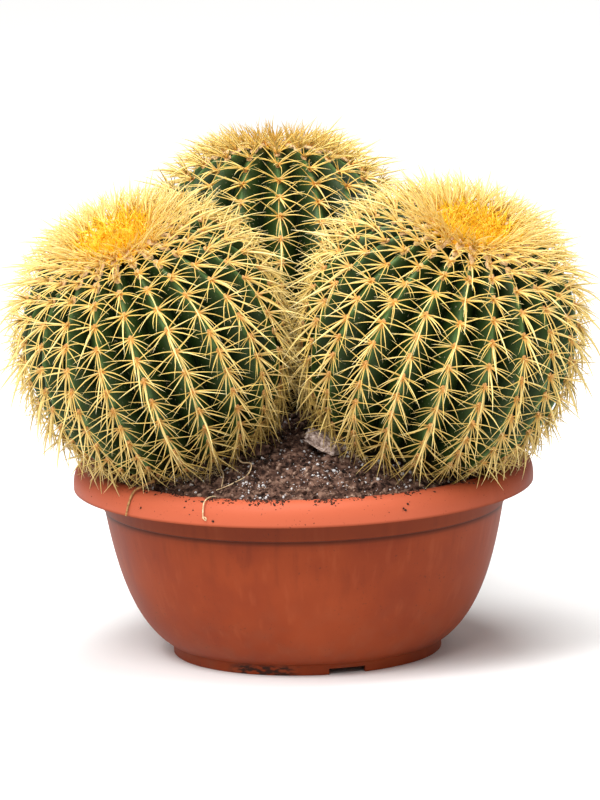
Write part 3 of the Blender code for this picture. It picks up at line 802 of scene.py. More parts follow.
def spine_size(tree, given, direction):
    """A spine's size, varied, and shortened where a ray along it meets something."""
    obstacle = add(tree, "GeometryNodeObjectInfo", {"Object": given["Obstacle"]}).outputs["Geometry"]
    lift = add(tree, VECTOR, {0: direction, "Scale": RAY_START}, operation="SCALE")
    here = add(tree, "GeometryNodeInputPosition")
    start = add(tree, VECTOR, {0: here, 1: lift}, operation="ADD")
    reach = add(tree, MATH, {0: given["Length"], 1: LONGEST_SPINE}, operation="MULTIPLY")
    links = {"Target Geometry": obstacle, "Source Position": start, "Ray Direction": direction}
    ray = add(tree, "GeometryNodeRaycast", links | {"Ray Length": reach}).outputs
    room = add(tree, MATH, {0: ray["Hit Distance"], 1: given["Length"]}, operation="DIVIDE")
    chance = random_value(tree, given["Seed"], 13, 0.74, 1.12)
    varied = add(tree, MATH, {0: attribute(tree, "size"), 1: chance}, operation="MULTIPLY")
    least = add(tree, MATH, {0: varied, 1: room}, operation="MINIMUM")
    links = {"Switch": ray["Is Hit"], "False": varied, "True": least}
    return add(tree, "GeometryNodeSwitch", links, input_type="FLOAT")


def cluster_tree():
    """Spines round each point of the carrier, from its normal, down, age and size."""
    sizes = {"Length": ("Float", 0.03), "Base_Radius": ("Float", 0.001)}
    sizes |= {"Rings": ("Int", 6), "Sides": ("Int", 5)}
    fan = {"Spines": ("Int", 8), "Lean": ("Float", 1.1), "Lean_Spread": ("Float", 0.15), "Fan": ("Float", 5.2)}
    rest = {"First": ("Float", 0.0), "Young_Lean": ("Float", 0.4), "Droop": ("Float", 1.0), "Seed": ("Int", 1)}
    ends = {"Obstacle": ("Object", None), "Finish": ("Material", None)}
    tree, given, out = new_tree("spine_clusters", **sizes, **fan, **rest, **ends)
    links = {"Geometry": given["Geometry"], "Amount": given["Spines"]}
    copies = add(tree, "GeometryNodeDuplicateElements", links, domain="POINT")
    normal, down = attribute(tree, "normal", "FLOAT_VECTOR"), attribute(tree, "down", "FLOAT_VECTOR")
    age = attribute(tree, "age")
    direction = spine_direction(tree, given, copies.outputs[1], normal, down, age)
    scale = spine_size(tree, given, direction)
    links = {0: scale, 1: SHORTEST_SPINE}
    long_enough = add(tree, "FunctionNodeCompare", links, data_type="FLOAT", operation="GREATER_THAN")

    links = {0: age, 1: 0.72, 2: random_value(tree, given["Seed"], 14, 0.0, 0.28)}
    shade = add(tree, MATH, links, operation="MULTIPLY_ADD")
    tinted = add(tree, KEEP, {"Geometry": copies, "Name": "tint", "Value": shade}, data_type="FLOAT")
    inward = add(tree, VECTOR, {0: normal, "Scale": -0.8}, operation="SCALE")
    both = add(tree, VECTOR, {0: inward, 1: down}, operation="ADD")
    links = {0: (-0.9, -0.9, -0.9), 1: (0.9, 0.9, 0.9), 8: 15}
    jitter = add(tree, RANDOM, links, data_type="FLOAT_VECTOR")
    bend = add(tree, VECTOR, {0: both, 1: jitter}, operation="ADD")
    pick = random_pick(tree, len(CURLS), given["Seed"])
    links = {"Points": tinted, "Selection": long_enough, "Instance": curled_set(tree, given, CURLS)}
    links |= {"Pick Instance": True, "Instance Index": pick, "Rotation": turned_to(tree, direction, bend)}
    placed = add(tree, "GeometryNodeInstanceOnPoints", links | {"Scale": scale})
    feed(tree, out, {"Geometry": mapped_spines(tree, placed, given["Finish"])})
    return tree


CLUSTERS = cluster_tree()
print("nodes in a cluster:", len(CLUSTERS.nodes))

# %% [markdown]
# ## Felt, bristles and grains
#
# Three more trees share the same idea of instances on points. Felt pads sit on the areoles. Bristles grow
# out of the crown's wool, thick enough to hide it. Grains scatter over open ground: lumps of peat, and
# perlite, the white puffed glass that keeps a mix airy. Every grain is a low ball with noise pushed into it,
# in four variants.


# %% Felt, bristle and grain trees
BALL_VARIANTS = 4
BRISTLE_CURLS = (0.05, 0.2, 0.4)


def lumpy_balls(tree, subdivisions, roughness, detail_scale):
    """Balls of radius 1 with noise pushed into them, as separate instances to pick from."""
    together = tree.nodes.new("GeometryNodeJoinGeometry")
    for variant in range(BALL_VARIANTS):
        ball = add(tree, "GeometryNodeMeshIcoSphere", {"Radius": 1.0, "Subdivisions": subdivisions})
        here = add(tree, "GeometryNodeInputPosition")
        moved = add(tree, VECTOR, {0: here, 1: (7.0 * variant, 3.0, 1.0)}, operation="ADD")
        field = add(tree, "ShaderNodeTexNoise", {"Vector": moved, "Scale": detail_scale, "Detail": 1.0})
        links = {"Value": field, "From Min": 0.3, "From Max": 0.7, "To Min": roughness, "To Max": 1.0}
        place = add(tree, VECTOR, {0: here, "Scale": add(tree, RANGE, links)}, operation="SCALE")
        lumpy = add(tree, "GeometryNodeSetPosition", {"Geometry": ball, "Position": place})
        feed(tree, together, {0: add(tree, "GeometryNodeGeometryToInstance", {"Geometry": lumpy})})
    return together


def placed_balls(tree, out, given, links):
    """Ends a tree of balls: instances on points, made plain mesh, with the finish."""
    placed = add(tree, "GeometryNodeInstanceOnPoints", links | {"Pick Instance": True})
    mesh = add(tree, "GeometryNodeRealizeInstances", {"Geometry": placed})
    links = {"Geometry": mesh, "Material": given["Finish"]}
    feed(tree, out, {"Geometry": add(tree, "GeometryNodeSetMaterial", links)})


def pad_tree():
    """A felt pad on each areole, longer along the rib than across it."""
    looks = {"Roughness": ("Float", 0.8), "Finish": ("Material", None)}
    tree, given, out = new_tree("felt_pads", Size=("Vector", None), **looks)
    normal, down = attribute(tree, "normal", "FLOAT_VECTOR"), attribute(tree, "down", "FLOAT_VECTOR")
    scale = add(tree, VECTOR, {0: given["Size"], "Scale": attribute(tree, "size")}, operation="SCALE")
    points = add(tree, "GeometryNodeMeshToPoints", {"Mesh": given["Geometry"]})
    balls = lumpy_balls(tree, 2, given["Roughness"], 2.2)
    links = {"Points": points, "Instance": balls, "Instance Index": random_pick(tree, BALL_VARIANTS, 21)}
    placed_balls(tree, out, given, links | {"Rotation": turned_to(tree, normal, down), "Scale": scale})
    return tree


def bristle_tree():
    """Bristles standing on a surface, leaning along its outward attribute and shaded by its tint attribute."""
    sizes = {"Length": ("Float", 0.02), "Base_Radius": ("Float", 0.0005)}
    sizes |= {"Rings": ("Int", 4), "Sides": ("Int", 3)}
    ways = {"Density": ("Float", 1e5), "Lean": ("Float", 0.4), "Tangle": ("Float", 0.4), "Seed": ("Int", 1)}
    tree, given, out = new_tree("bristles", **sizes, **ways, Finish=("Material", None))
    weight = add(tree, MATH, {0: attribute(tree, "grown"), 1: given["Density"]}, operation="MULTIPLY")
    links = {"Mesh": given["Geometry"], "Density": weight, "Seed": given["Seed"]}
    spots = add(tree, "GeometryNodeDistributePointsOnFaces", links)
    outward = attribute(tree, "outward", "FLOAT_VECTOR")
    away = add(tree, VECTOR, {0: outward, "Scale": given["Lean"]}, operation="SCALE")
    jitter = add(tree, RANDOM, {0: (-1, -1, -1), 1: (1, 1, 1), 8: 31}, data_type="FLOAT_VECTOR")
    tangled = add(tree, VECTOR, {0: jitter, "Scale": given["Tangle"]}, operation="SCALE")
    leaned = add(tree, VECTOR, {0: spots.outputs["Normal"], 1: away}, operation="ADD")
    direction = add(tree, VECTOR, {0: leaned, 1: tangled}, operation="ADD")
    links = {0: attribute(tree, "tint"), 1: 0.8, 2: random_value(tree, given["Seed"], 32, 0.0, 0.2)}
    shade = add(tree, MATH, links, operation="MULTIPLY_ADD")
    tinted = add(tree, KEEP, {"Geometry": spots, "Name": "tint", "Value": shade}, data_type="FLOAT")
    chance = random_value(tree, given["Seed"], 33, 0.6, 1.15)
    scale = add(tree, MATH, {0: attribute(tree, "size"), 1: chance}, operation="MULTIPLY")
    pick = random_pick(tree, len(BRISTLE_CURLS), 34)
    links = {"Points": tinted, "Instance": curled_set(tree, given, BRISTLE_CURLS), "Pick Instance": True}
    links |= {"Instance Index": pick, "Rotation": turned_to(tree, direction, jitter), "Scale": scale}
    placed = add(tree, "GeometryNodeInstanceOnPoints", links)
    feed(tree, out, {"Geometry": mapped_spines(tree, placed, given["Finish"])})
    return tree


def grain_tree():
    """Grains scattered over the ground that the open attribute marks, partly sunk in it."""
    sizes = {"Density": ("Float", 1e4), "Smallest": ("Float", 0.001), "Largest": ("Float", 0.002)}
    looks = {"Subdivisions": ("Int", 1), "Roughness": ("Float", 0.6), "Flatness": ("Float", 0.7)}
    rest = {"Sink": ("Float", 0.2), "Seed": ("Int", 1), "Finish": ("Material", None)}
    tree, given, out = new_tree("grains", **sizes, **looks, **rest)
    weight = add(tree, MATH, {0: attribute(tree, "open"), 1: given["Density"]}, operation="MULTIPLY")
    links = {"Mesh": given["Geometry"], "Density": weight, "Seed": given["Seed"]}
    spots = add(tree, "GeometryNodeDistributePointsOnFaces", links)
    chance = random_value(tree, given["Seed"], 41, 0.0, 1.0)
    skewed = add(tree, MATH, {0: chance, 1: 3.0}, operation="POWER")
    links = {"Value": skewed, "To Min": given["Smallest"], "To Max": given["Largest"]}
    size = add(tree, RANGE, links)
    kept = add(tree, KEEP, {"Geometry": spots, "Name": "size", "Value": size}, data_type="FLOAT")
    own = attribute(tree, "size")
    depth = add(tree, MATH, {0: own, 1: given["Sink"]}, operation="MULTIPLY")
    minus = add(tree, MATH, {0: depth, 1: -1.0}, operation="MULTIPLY")
    offset = add(tree, "ShaderNodeCombineXYZ", {"Z": minus})
    sunk = add(tree, "GeometryNodeSetPosition", {"Geometry": kept, "Offset": offset})
    links = {0: (-0.6, -0.6, 0), 1: (0.6, 0.6, 6.3), 8: 42}
    turn = add(tree, RANDOM, links, data_type="FLOAT_VECTOR")
    width = random_value(tree, given["Seed"], 43, 0.6, 1.0)
    form = add(tree, "ShaderNodeCombineXYZ", {"X": 1.0, "Y": width, "Z": given["Flatness"]})
    scale = add(tree, VECTOR, {0: form, "Scale": own}, operation="SCALE")
    balls = lumpy_balls(tree, given["Subdivisions"], given["Roughness"], 1.3)
    links = {"Points": sunk, "Instance": balls, "Instance Index": random_pick(tree, BALL_VARIANTS, 44)}
    placed_balls(tree, out, given, links | {"Rotation": turn, "Scale": scale})
    return tree


PADS, BRISTLES, GRAINS = pad_tree(), bristle_tree(), grain_tree()
print("trees:", ", ".join(t.name for t in bpy.data.node_groups))

# %% [markdown]
# ## Materials: plant
#
# The skin is waxy, so it has a soft sheen on the crests, and the grooves are dull. Its colour paints in the
# ribs'
# light and shade: the grooves are near-black green as painted shade, and the pale line along each crest is
# partly the wax's paler green and partly a painted highlight. Old skin near the soil turns corky, and a few
# small scars
# are pinkish grey. Spines are horn: orange at the foot, straw yellow along the shaft, paler at the tip, and
# browner with age. Their own map carries age and place along the spine, so one set of ramps colours thousands of
# them.


# %% Plant materials
def new_material(name):
    """A material's tree and its Principled shader."""
    made = bpy.data.materials.new(name)
    made.use_nodes = True
    return made, made.node_tree, made.node_tree.nodes["Principled BSDF"]


def ramp(tree, value, stops):
    """A colour ramp through (position, hex colour) stops."""
    node = add(tree, "ShaderNodeValToRGB", {"Fac": value})
    elements = node.color_ramp.elements
    for element, (position, colour) in zip(elements, (stops[0], stops[-1])):
        element.position, element.color = position, linear(colour)
    for position, colour in stops[1:-1]:
        elements.new(position).color = linear(colour)
    return node.outputs[0]


def noise_at(tree, millimetres, detail, stretch=(1, 1, 1)):
    """Noise in object space whose features are about this many millimetres across."""
    place = add(tree, "ShaderNodeTexCoord").outputs["Object"]
    mapped = add(tree, "ShaderNodeMapping", {"Vector": place, "Scale": stretch})
    links = {"Vector": mapped, "Scale": 1000 / millimetres, "Detail": detail}
    return add(tree, "ShaderNodeTexNoise", links).outputs[0]


def laid_over(tree, below, above, *zones):
    """One colour over another where all zones meet. A zone is (value, start, full) and perhaps its most."""
    share = 1.0
    for value, start, full, *most in zones:
        links = {"Value": value, "From Min": start, "From Max": full, "To Max": most[0] if most else 1.0}
        share = add(tree, MATH, {0: share, 1: add(tree, RANGE, links)}, operation="MULTIPLY")
    if isinstance(above, str):
        above = linear(above)
    return add(tree, "ShaderNodeMix", {0: share, 6: below, 7: above}, data_type="RGBA").outputs[2]


def relief(tree, height, millimetres, strength=1.0):
    """The bent normal of a skin whose relief is a 0 to 1 height times this many millimetres."""
    links = {"Height": height, "Strength": strength, "Distance": millimetres / 1000}
    return add(tree, "ShaderNodeBump", links)


def kept_value(tree, name):
    """What the mesh keeps for each point under a name."""
    return add(tree, "ShaderNodeAttribute", attribute_name=name).outputs["Fac"]


def cactus_skin():
    """Waxy green cactus skin: softly shining crests, with painted shade in the grooves and a partly painted
    highlight on the crests.
    """
    made, tree, shader = new_material("waxy_cactus_skin")
    crest, age = kept_value(tree, "crest"), kept_value(tree, "age")
    links = {0: noise_at(tree, 16, 4), 1: 0.16, 2: -0.08}
    shifted = add(tree, MATH, links, operation="MULTIPLY_ADD")
    height = add(tree, MATH, {0: crest, 1: shifted}, operation="ADD")
    # The ramp paints the ribs' shade and light: near black in the grooves as painted shade, and a pale crest
    # line that is partly painted highlight.
    stops = ((0.0, "#091005"), (0.35, "#15230a"), (0.72, "#1f310e"), (0.90, "#2b4118"))
    green = ramp(tree, height, (*stops, (0.965, "#44612f"), (1.0, "#5a7846")))
    scarred = laid_over(tree, green, "#6f6a58", (noise_at(tree, 3.2, 2), 0.66, 0.74))
    corky = (age, 0.70, 0.80, 0.8), (noise_at(tree, 9, 4), 0.0, 1.0)
    links = {"Value": noise_at(tree, 6, 3), "To Min": 0.34, "To Max": 0.6}
    sheen = add(tree, MATH, {0: crest, 1: 0.25}, operation="MULTIPLY")
    feed(tree, shader, {
        "Base Color": laid_over(tree, scarred, "#6b5a3a", *corky),
        "Roughness": add(tree, RANGE, links),
        "IOR": 1.45,
        "Specular IOR Level": sheen,
        "Normal": relief(tree, noise_at(tree, 1.6, 3), 0.25, 0.5),
    })
    return made


def horn(name, young, old, darkest=0.78):
    """Spine horn, smooth and slightly glossy. young and old are (foot, shaft, tip) colours, mixed along U."""
    made, tree, shader = new_material(name)
    place = add(tree, "ShaderNodeSeparateXYZ", {0: add(tree, "ShaderNodeUVMap", uv_map="OFBake")}).outputs
    positions = (0.0, 0.07, 0.24, 0.75, 1.0)

    def shaft(foot, middle, tip):
        return ramp(tree, place["Y"], list(zip(positions, (foot, foot, middle, middle, tip))))

    colour = laid_over(tree, shaft(*young), shaft(*old), (place["X"], 0.42, 0.80))
    streak = add(tree, "ShaderNodeCombineXYZ", {"X": place["X"]})
    each = add(tree, "ShaderNodeTexNoise", {"Vector": streak, "Scale": 160.0, "Detail": 0.0})
    links = {"Value": each, "From Min": 0.3, "From Max": 0.7, "To Min": darkest, "To Max": 1.12}
    varied = add(tree, "ShaderNodeHueSaturation", {"Color": colour, "Value": add(tree, RANGE, links)})
    feed(tree, shader, {"Base Color": varied, "Roughness": 0.38, "IOR": 1.54})
    return made


def felt(name, dark, pale, millimetres=1.2, young=None):
    """Matted plant wool: two tones in fine fibres, with no shine. young holds the two tones near the crown."""
    made, tree, shader = new_material(name)
    fibres = noise_at(tree, millimetres, 4)
    colour = ramp(tree, fibres, ((0.35, dark), (0.62, pale)))
    if young:
        fresh = ramp(tree, fibres, ((0.35, young[0]), (0.62, young[1])))
        colour = laid_over(tree, fresh, colour, (kept_value(tree, "age"), 0.14, 0.26))
    feed(tree, shader, {"Base Color": colour, "Roughness": 0.95, "Specular IOR Level": 0.2})
    feed(tree, shader, {"Sheen Weight": 0.3, "Normal": relief(tree, fibres, 0.6)})
    return made


SKIN = cactus_skin()
STRAW_TONES = ("#e2a248", "#f2cf70", "#f8e3a0"), ("#92601e", "#94722a", "#aa8638")
CREAM_TONES = ("#e2a24a", "#f7dc8a", "#feefc0"), ("#986822", "#a48034", "#b69246")
GOLD_TONES = ("#ffb000", "#ffce24", "#ffe05c"), ("#f6ba5c", "#fbdfa2", "#fff2cc")
RADIAL_HORN = horn("straw_spine_horn", *STRAW_TONES)
CENTRAL_HORN = horn("cream_central_spine_horn", *CREAM_TONES)
CROWN_HORN = horn("golden_bristle_horn", *GOLD_TONES, darkest=0.62)
AREOLE_FELT = felt("orange_areole_felt", "#c6803a", "#eab872", young=("#dcb27c", "#f6daa8"))
CROWN_FELT = felt("golden_crown_felt", "#f0a416", "#ffc83e", 2.0)
PLANT_FINISHES = (SKIN, RADIAL_HORN, CENTRAL_HORN, CROWN_HORN, AREOLE_FELT, CROWN_FELT)
print("plant materials:", ", ".join(m.name for m in PLANT_FINISHES))

# %% [markdown]
# ## Materials: pot and ground
#
# The bowl is moulded plastic, coloured right through, with a matt skin. The front left of the lip is painted
# lighter, a painted highlight where the light falls on it. Rain has left upright streaks, the collar band under
# the lip is painted darker as the lip's shadow, and the seam under the collar is a painted shadow line. Dust
# clings low on the wall, and wet soil has smeared the front of the foot. The mix is peat with bark and perlite,
# so its colour changes from grain to grain.

# %% Pot and ground materials
WALL_RED = ((0.3, "#7f3319"), (0.5, "#88391b"), (0.7, "#8f3e1f"))


def terracotta():
    """Matt moulded plastic in a terracotta colour: hardly any shine, used and a little dirty, with light and
    shade painted on at the lip and collar.
    """
    made, tree, shader = new_material("terracotta_matt_plastic")
    place = add(tree, "ShaderNodeTexCoord").outputs["Object"]
    x, y, height = add(tree, "ShaderNodeSeparateXYZ", {0: place}).outputs
    along_the_light = add(tree, MATH, {0: x, 1: 0.35, 2: y}, operation="MULTIPLY_ADD")
    streaks = noise_at(tree, 11, 4, (1, 1, 0.05))
    clouds = noise_at(tree, 70, 3)
    rain = (streaks, 0.56, 0.70, 0.35), (height, 0.06, 0.15)
    # Painted highlight: the front left of the lip is painted lighter, where the light falls on it.
    painted_lit_lip = (along_the_light, -0.04, -0.23), (height, 0.183, 0.187)
    # Painted shade: the collar band and the wall just under it are darker, as in the lip's shadow.
    painted_shade_under_lip = (height, 0.150, 0.166, 0.5), (height, 0.186, 0.183)
    # Painted shadow line in the seam under the collar.
    shaded_seam = (height, 0.1560, 0.1605, 0.75), (height, 0.1634, 0.1622)
    low_dust = (noise_at(tree, 22, 5), 0.45, 0.75, 0.35), (height, 0.10, 0.02)
    front_foot = (x, -0.088, -0.070), (x, -0.004, -0.022), (y, -0.08, -0.10), (height, 0.0125, 0.0085)
    smear = (noise_at(tree, 9, 5, (1, 1, 2.5)), 0.44, 0.54), *front_foot
    specks = (noise_at(tree, 2.6, 1), 0.70, 0.74, 0.75), (noise_at(tree, 45, 2), 0.42, 0.62)
    colour = laid_over(tree, ramp(tree, clouds, WALL_RED), "#682a16", *rain)
    colour = laid_over(tree, colour, "#9d4f2f", (streaks, 0.44, 0.30, 0.25))
    # Painted light and shade over the wall's colour: the lit lip, the shade under the lip and the seam's shadow
    # line.
    for code, zones in (("#b85b3f", painted_lit_lip), ("#5c2815", painted_shade_under_lip), ("#3c190d", shaded_seam)):
        colour = laid_over(tree, colour, code, *zones)
    for code, zones in (("#7d4c38", low_dust), ("#3a221a", smear), ("#4a2a1f", specks)):
        colour = laid_over(tree, colour, code, *zones)
    links = {"Value": clouds, "To Min": 0.42, "To Max": 0.6}
    feed(tree, shader, {"Base Color": colour, "Roughness": add(tree, RANGE, links), "Specular IOR Level": 0.1})
    feed(tree, shader, {"Normal": relief(tree, noise_at(tree, 1.1, 2), 0.05, 0.6)})
    return made


def grainy(name, stops, millimetres, depth, roughness=0.95, stretch=(1, 1, 1)):
    """A rough natural material in a range of colours, with relief."""
    made, tree, shader = new_material(name)
    field = noise_at(tree, millimetres, 4, stretch)
    feed(tree, shader, {"Base Color": ramp(tree, field, stops), "Roughness": roughness})
    feed(tree, shader, {"Specular IOR Level": 0.25, "Normal": relief(tree, field, depth)})
    return made


PEAT_TONES = ((0.36, "#24150f"), (0.5, "#4c342a"), (0.64, "#7c5f50"))
CRUMB_TONES = ((0.36, "#1c110b"), (0.46, "#452f26"), (0.56, "#745849"), (0.68, "#a88e7c"))
BARK_TONES = ((0.3, "#5e4a40"), (0.5, "#a08a7e"), (0.7, "#d2c2b8"))
TERRACOTTA = terracotta()
PEAT = grainy("moist_peat_mix", PEAT_TONES, 7.0, 0.8)
CRUMB = grainy("peat_crumb", CRUMB_TONES, 8.0, 0.4)
DARK_CRUMB = grainy("dark_peat_crumb", ((0.35, "#1c100b"), (0.65, "#4a3026")), 3.0, 0.4)
PERLITE = grainy("expanded_perlite", ((0.35, "#a8a4a4"), (0.6, "#e6e4e4")), 1.5, 0.3, 0.8)
BARK = grainy("weathered_grey_bark", BARK_TONES, 5.0, 0.5, 0.9, (1, 1.8, 1.8))
ROOT = grainy("dry_root_bark", ((0.35, "#b08d66"), (0.65, "#ead3ab")), 2.0, 0.2, 0.85)
STRAW = grainy("dry_straw_stalk", ((0.35, "#7e5632"), (0.65, "#b48a56")), 3.0, 0.15, 0.7)
GROUND_FINISHES = (TERRACOTTA, PEAT, CRUMB, DARK_CRUMB, PERLITE, BARK, ROOT, STRAW)
print("pot and ground materials:", ", ".join(m.name for m in GROUND_FINISHES))

# %% [markdown]
# ## Stems, bowl and mix become pieces
#
# These meshes are ready. Each takes its material and stands for its own nodes.

# %% First pieces
for plant in PLANTS:
    skin = new_object(plant.name + "_cactus_ribbed_skin", STEMS[plant.name], SKIN)
    finish_piece(skin, plant.name + "_cactus_stem")
POT.data.materials.clear()
POT.data.materials.append(TERRACOTTA)
finish_piece(POT, "bowl_pot")
MOUND = new_object("potting_mix_mound", SOIL.copy(), PEAT)
finish_piece(MOUND, "potting_soil")

# %% [markdown]
# ## Areoles, spines and felt
#
# Each plant gets one point per areole, unless the areole is buried in the mix or pressed into a neighbour.
# The same points then carry four kinds of growth: radial spines fanned out round the areole, one long stout
# central that points down, a few short centrals between, and the felt they all grow from.

# %% Growth on the areoles
CLEAR_OF_GROUND = 0.003
YOUNG_ARCS = (0.05, 0.13)  # distances from the crown between which growth reaches its full form
YOUNG_SIZE = 0.95
YOUNG_PAD_SIZE = 1.8
PAD_SIZE = (0.0054, 0.0031, 0.0022)
RADIALS = {"Length": 0.036, "Base_Radius": 0.00072, "Rings": 5, "Spines": 9, "Fan": 4.7}
RADIALS |= {"Lean": 1.14, "Lean_Spread": 0.17}
LONG_CENTRAL = {"Length": 0.052, "Base_Radius": 0.00115, "Spines": 1, "Fan": 0.0}
LONG_CENTRAL |= {"Lean": 0.98, "Lean_Spread": 0.28}
SHORT_CENTRALS = {"Length": 0.036, "Base_Radius": 0.0008, "Spines": 3, "Fan": 4.4}
SHORT_CENTRALS |= {"Lean": 0.70, "Lean_Spread": 0.25}
GROWTH = (
    ("radial", RADIALS, RADIAL_HORN, 0.0),
    ("long_central", LONG_CENTRAL, CENTRAL_HORN, 0.05),
    ("short_central", SHORT_CENTRALS, CENTRAL_HORN, 0.03),
)


def is_free(plant, point):
    """Whether an areole stands clear of the ground and of the neighbouring plants."""
    x, y = point[0] - AXIS_X, point[1] - AXIS_Y
    if math.hypot(x, y) < SOIL_RADIUS and point[2] < mound_height(x, y) + CLEAR_OF_GROUND:
        return False
    for name, tree in STEM_TREES.items():
        if name != plant.name:
            nearest, normal, _, _ = tree.find_nearest(Vector(point))
            if (Vector(point) - nearest).dot(normal) < 0:
                return False
    return True


def areole_carrier(plant, name, first_arc=0.0, young_size=YOUNG_SIZE):
    """A point on each free areole with its directions, its age and its growth's size."""
    found = []
    for rib, row in enumerate(AREOLES[plant.name]):
        azimuth = np.full(len(row), plant.turn + 2 * math.pi * rib / plant.ribs)
        points, normals, downs = plant.frame(plant.polar_at(row), azimuth)
        for arc, point, normal, down in zip(row, points + normals * SWELL_HEIGHT / 2, normals, downs):
            if arc >= first_arc and is_free(plant, point):
                young = 1 - float(smoothstep(arc, *YOUNG_ARCS))
                found.append((point, normal, down, arc / plant.arcs[-1], 1 + (young_size - 1) * young))
    places, *kept = zip(*found)
    mesh = bpy.data.meshes.new(name)
    mesh.from_pydata([tuple(p) for p in places], [], [])
    for key, values in zip(("normal", "down", "age", "size"), kept):
        store(mesh, key, values)
    return new_object(name, mesh)


for number, plant in enumerate(PLANTS):
    node = plant.name + "_cactus_areoles_and_spines"
    for kind, shape, finish, first_arc in GROWTH:
        spines = areole_carrier(plant, f"{plant.name}_cactus_{kind}_spines", first_arc)
        run_tree(spines, CLUSTERS, **shape, Seed=number + 1, Obstacle=OBSTACLE, Finish=finish)
        finish_piece(spines, node)
    pads = areole_carrier(plant, plant.name + "_cactus_areole_felt", young_size=YOUNG_PAD_SIZE)
    run_tree(pads, PADS, Size=PAD_SIZE, Roughness=0.7, Finish=AREOLE_FELT)
    finish_piece(pads, node)

# %% [markdown]
# ## Crowns
#
# The youngest areoles merge into a golden cushion over the growing point. A low dome with noise in it is the
# wool. Its bristles stand up in the middle, where they are deepest in colour, and lie outwards at its edge,
# where they have bleached to cream.

# %% Crown cushions
CUSHION_RADIUS = 0.050
CUSHION_RISE = 0.0020
CUSHION_THICKNESS = 0.0008
CUSHION_UNDERSIDE = 0.0035
WOOL_ROUGHNESS, TUFTS_PER_METRE = 0.0022, 210
TOP_RINGS, UNDER_RINGS = 26, 6
CUSHION_COLUMNS = 72
THINNING = (0.030, 0.044)  # distances from the crown's middle between which the bristles grow sparse
LENGTHENING = (0.020, 0.045)
GOLD_REACH = {"left": 0.055, "right": 0.055, "back": 0.030}
GOLD_BLEND = 0.008
CROWN_BRISTLES = {"Length": 0.025, "Base_Radius": 0.00115, "Lean": 1.3, "Tangle": 0.9, "Density": 1.5e5}


def crown_cushion(plant):
    """The wool over a crown, closed underneath, with the attributes its bristles need."""
    azimuths = 2 * math.pi * np.arange(CUSHION_COLUMNS) / CUSHION_COLUMNS
    over = np.linspace(0.0015, CUSHION_RADIUS, TOP_RINGS)
    under = np.linspace(CUSHION_RADIUS - 0.002, 0.003, UNDER_RINGS)
    arcs = np.concatenate([over, under])
    polar, azimuth = np.meshgrid(plant.polar_at(arcs), azimuths, indexing="ij")
    point, normal, down = plant.frame(polar, azimuth)
    top = np.arange(len(arcs)) < TOP_RINGS
    share = arcs / CUSHION_RADIUS
    rise = np.where(top, CUSHION_RISE * (1 - share**3) + CUSHION_THICKNESS, -CUSHION_UNDERSIDE)
    rough = [noise.noise(Vector(p) * TUFTS_PER_METRE) for p in point.reshape(-1, 3)]
    rough = np.array(rough).reshape(polar.shape) * WOOL_ROUGHNESS * top[:, None]
    rows = point + normal * (rise[:, None] + rough)[..., None]
    pole = plant.pole(NEAR_POLE)
    start = pole + plant.axis * (CUSHION_RISE + CUSHION_THICKNESS)
    mesh = closed_grid(plant.name + "_cactus_crown_felt", rows, start, pole - plant.axis * CUSHION_UNDERSIDE)
    gold = GOLD_REACH[plant.name]
    rings = {
        "grown": (1, np.where(top, 1 - 0.78 * smoothstep(arcs, *THINNING), 0.0), 0),
        "tint": (0, smoothstep(arcs, gold - GOLD_BLEND, gold + GOLD_BLEND), 0),
        "size": (1, 0.55 + 0.28 * smoothstep(arcs, *LENGTHENING), 1),
    }
    for name, (first, along, last) in rings.items():
        store(mesh, name, np.concatenate([[first], np.repeat(along, CUSHION_COLUMNS), [last]]))
    outward = (down * share[:, None, None] ** 1.3).reshape(-1, 3)
    store(mesh, "outward", np.concatenate([[[0, 0, 0]], outward, [[0, 0, 0]]]))
    return mesh


for number, plant in enumerate(PLANTS):
    felted = new_object(plant.name + "_cactus_crown_felt", crown_cushion(plant), CROWN_FELT)
    bristles = new_object(plant.name + "_cactus_crown_bristles", felted.data.copy())
    run_tree(bristles, BRISTLES, **CROWN_BRISTLES, Seed=number + 5, Finish=CROWN_HORN)
    finish_piece(felted, plant.name + "_cactus_crown_wool")
    finish_piece(bristles, plant.name + "_cactus_crown_wool")

# %% [markdown]
# ## Loose ground
#
# Copies of the mound carry the grains: coarse and fine crumbs everywhere it is open, and perlite in drifts
# where water has floated it forward. A copy of the bowl carries a dusting of crumbs on the front of its lip,
# where the mix was pushed in by hand.

# %% Grains
def drift_share(x, y):
    """How much of the perlite has gathered at a place from the pot's axis."""
    front = 1 - float(smoothstep(y, -0.09, 0.05))
    patches = float(smoothstep(noise.noise(Vector((x * 26, y * 26, 1.0))), -0.25, 0.35))
    return (0.15 + 0.85 * patches) * (0.2 + 0.8 * front)


def drift_copy(name):
    """A copy of the mound whose open attribute is less where there is no drift."""
    mesh = SOIL.copy()
    for mark, vertex in zip(mesh.attributes["open"].data, mesh.vertices):
        mark.value *= drift_share(vertex.co.x - AXIS_X, vertex.co.y - AXIS_Y)
    return new_object(name, mesh)


LIP_INNER_MARKS = (0.2335, 0.2475)  # radii between which the crumbs on the lip grow sparse
LIP_MARKS_FROM = 0.225
LIP_MARKS_ABOVE = 0.190
DUSTY_AZIMUTH = -95.0
DUSTY_SPAN = (20, 44)


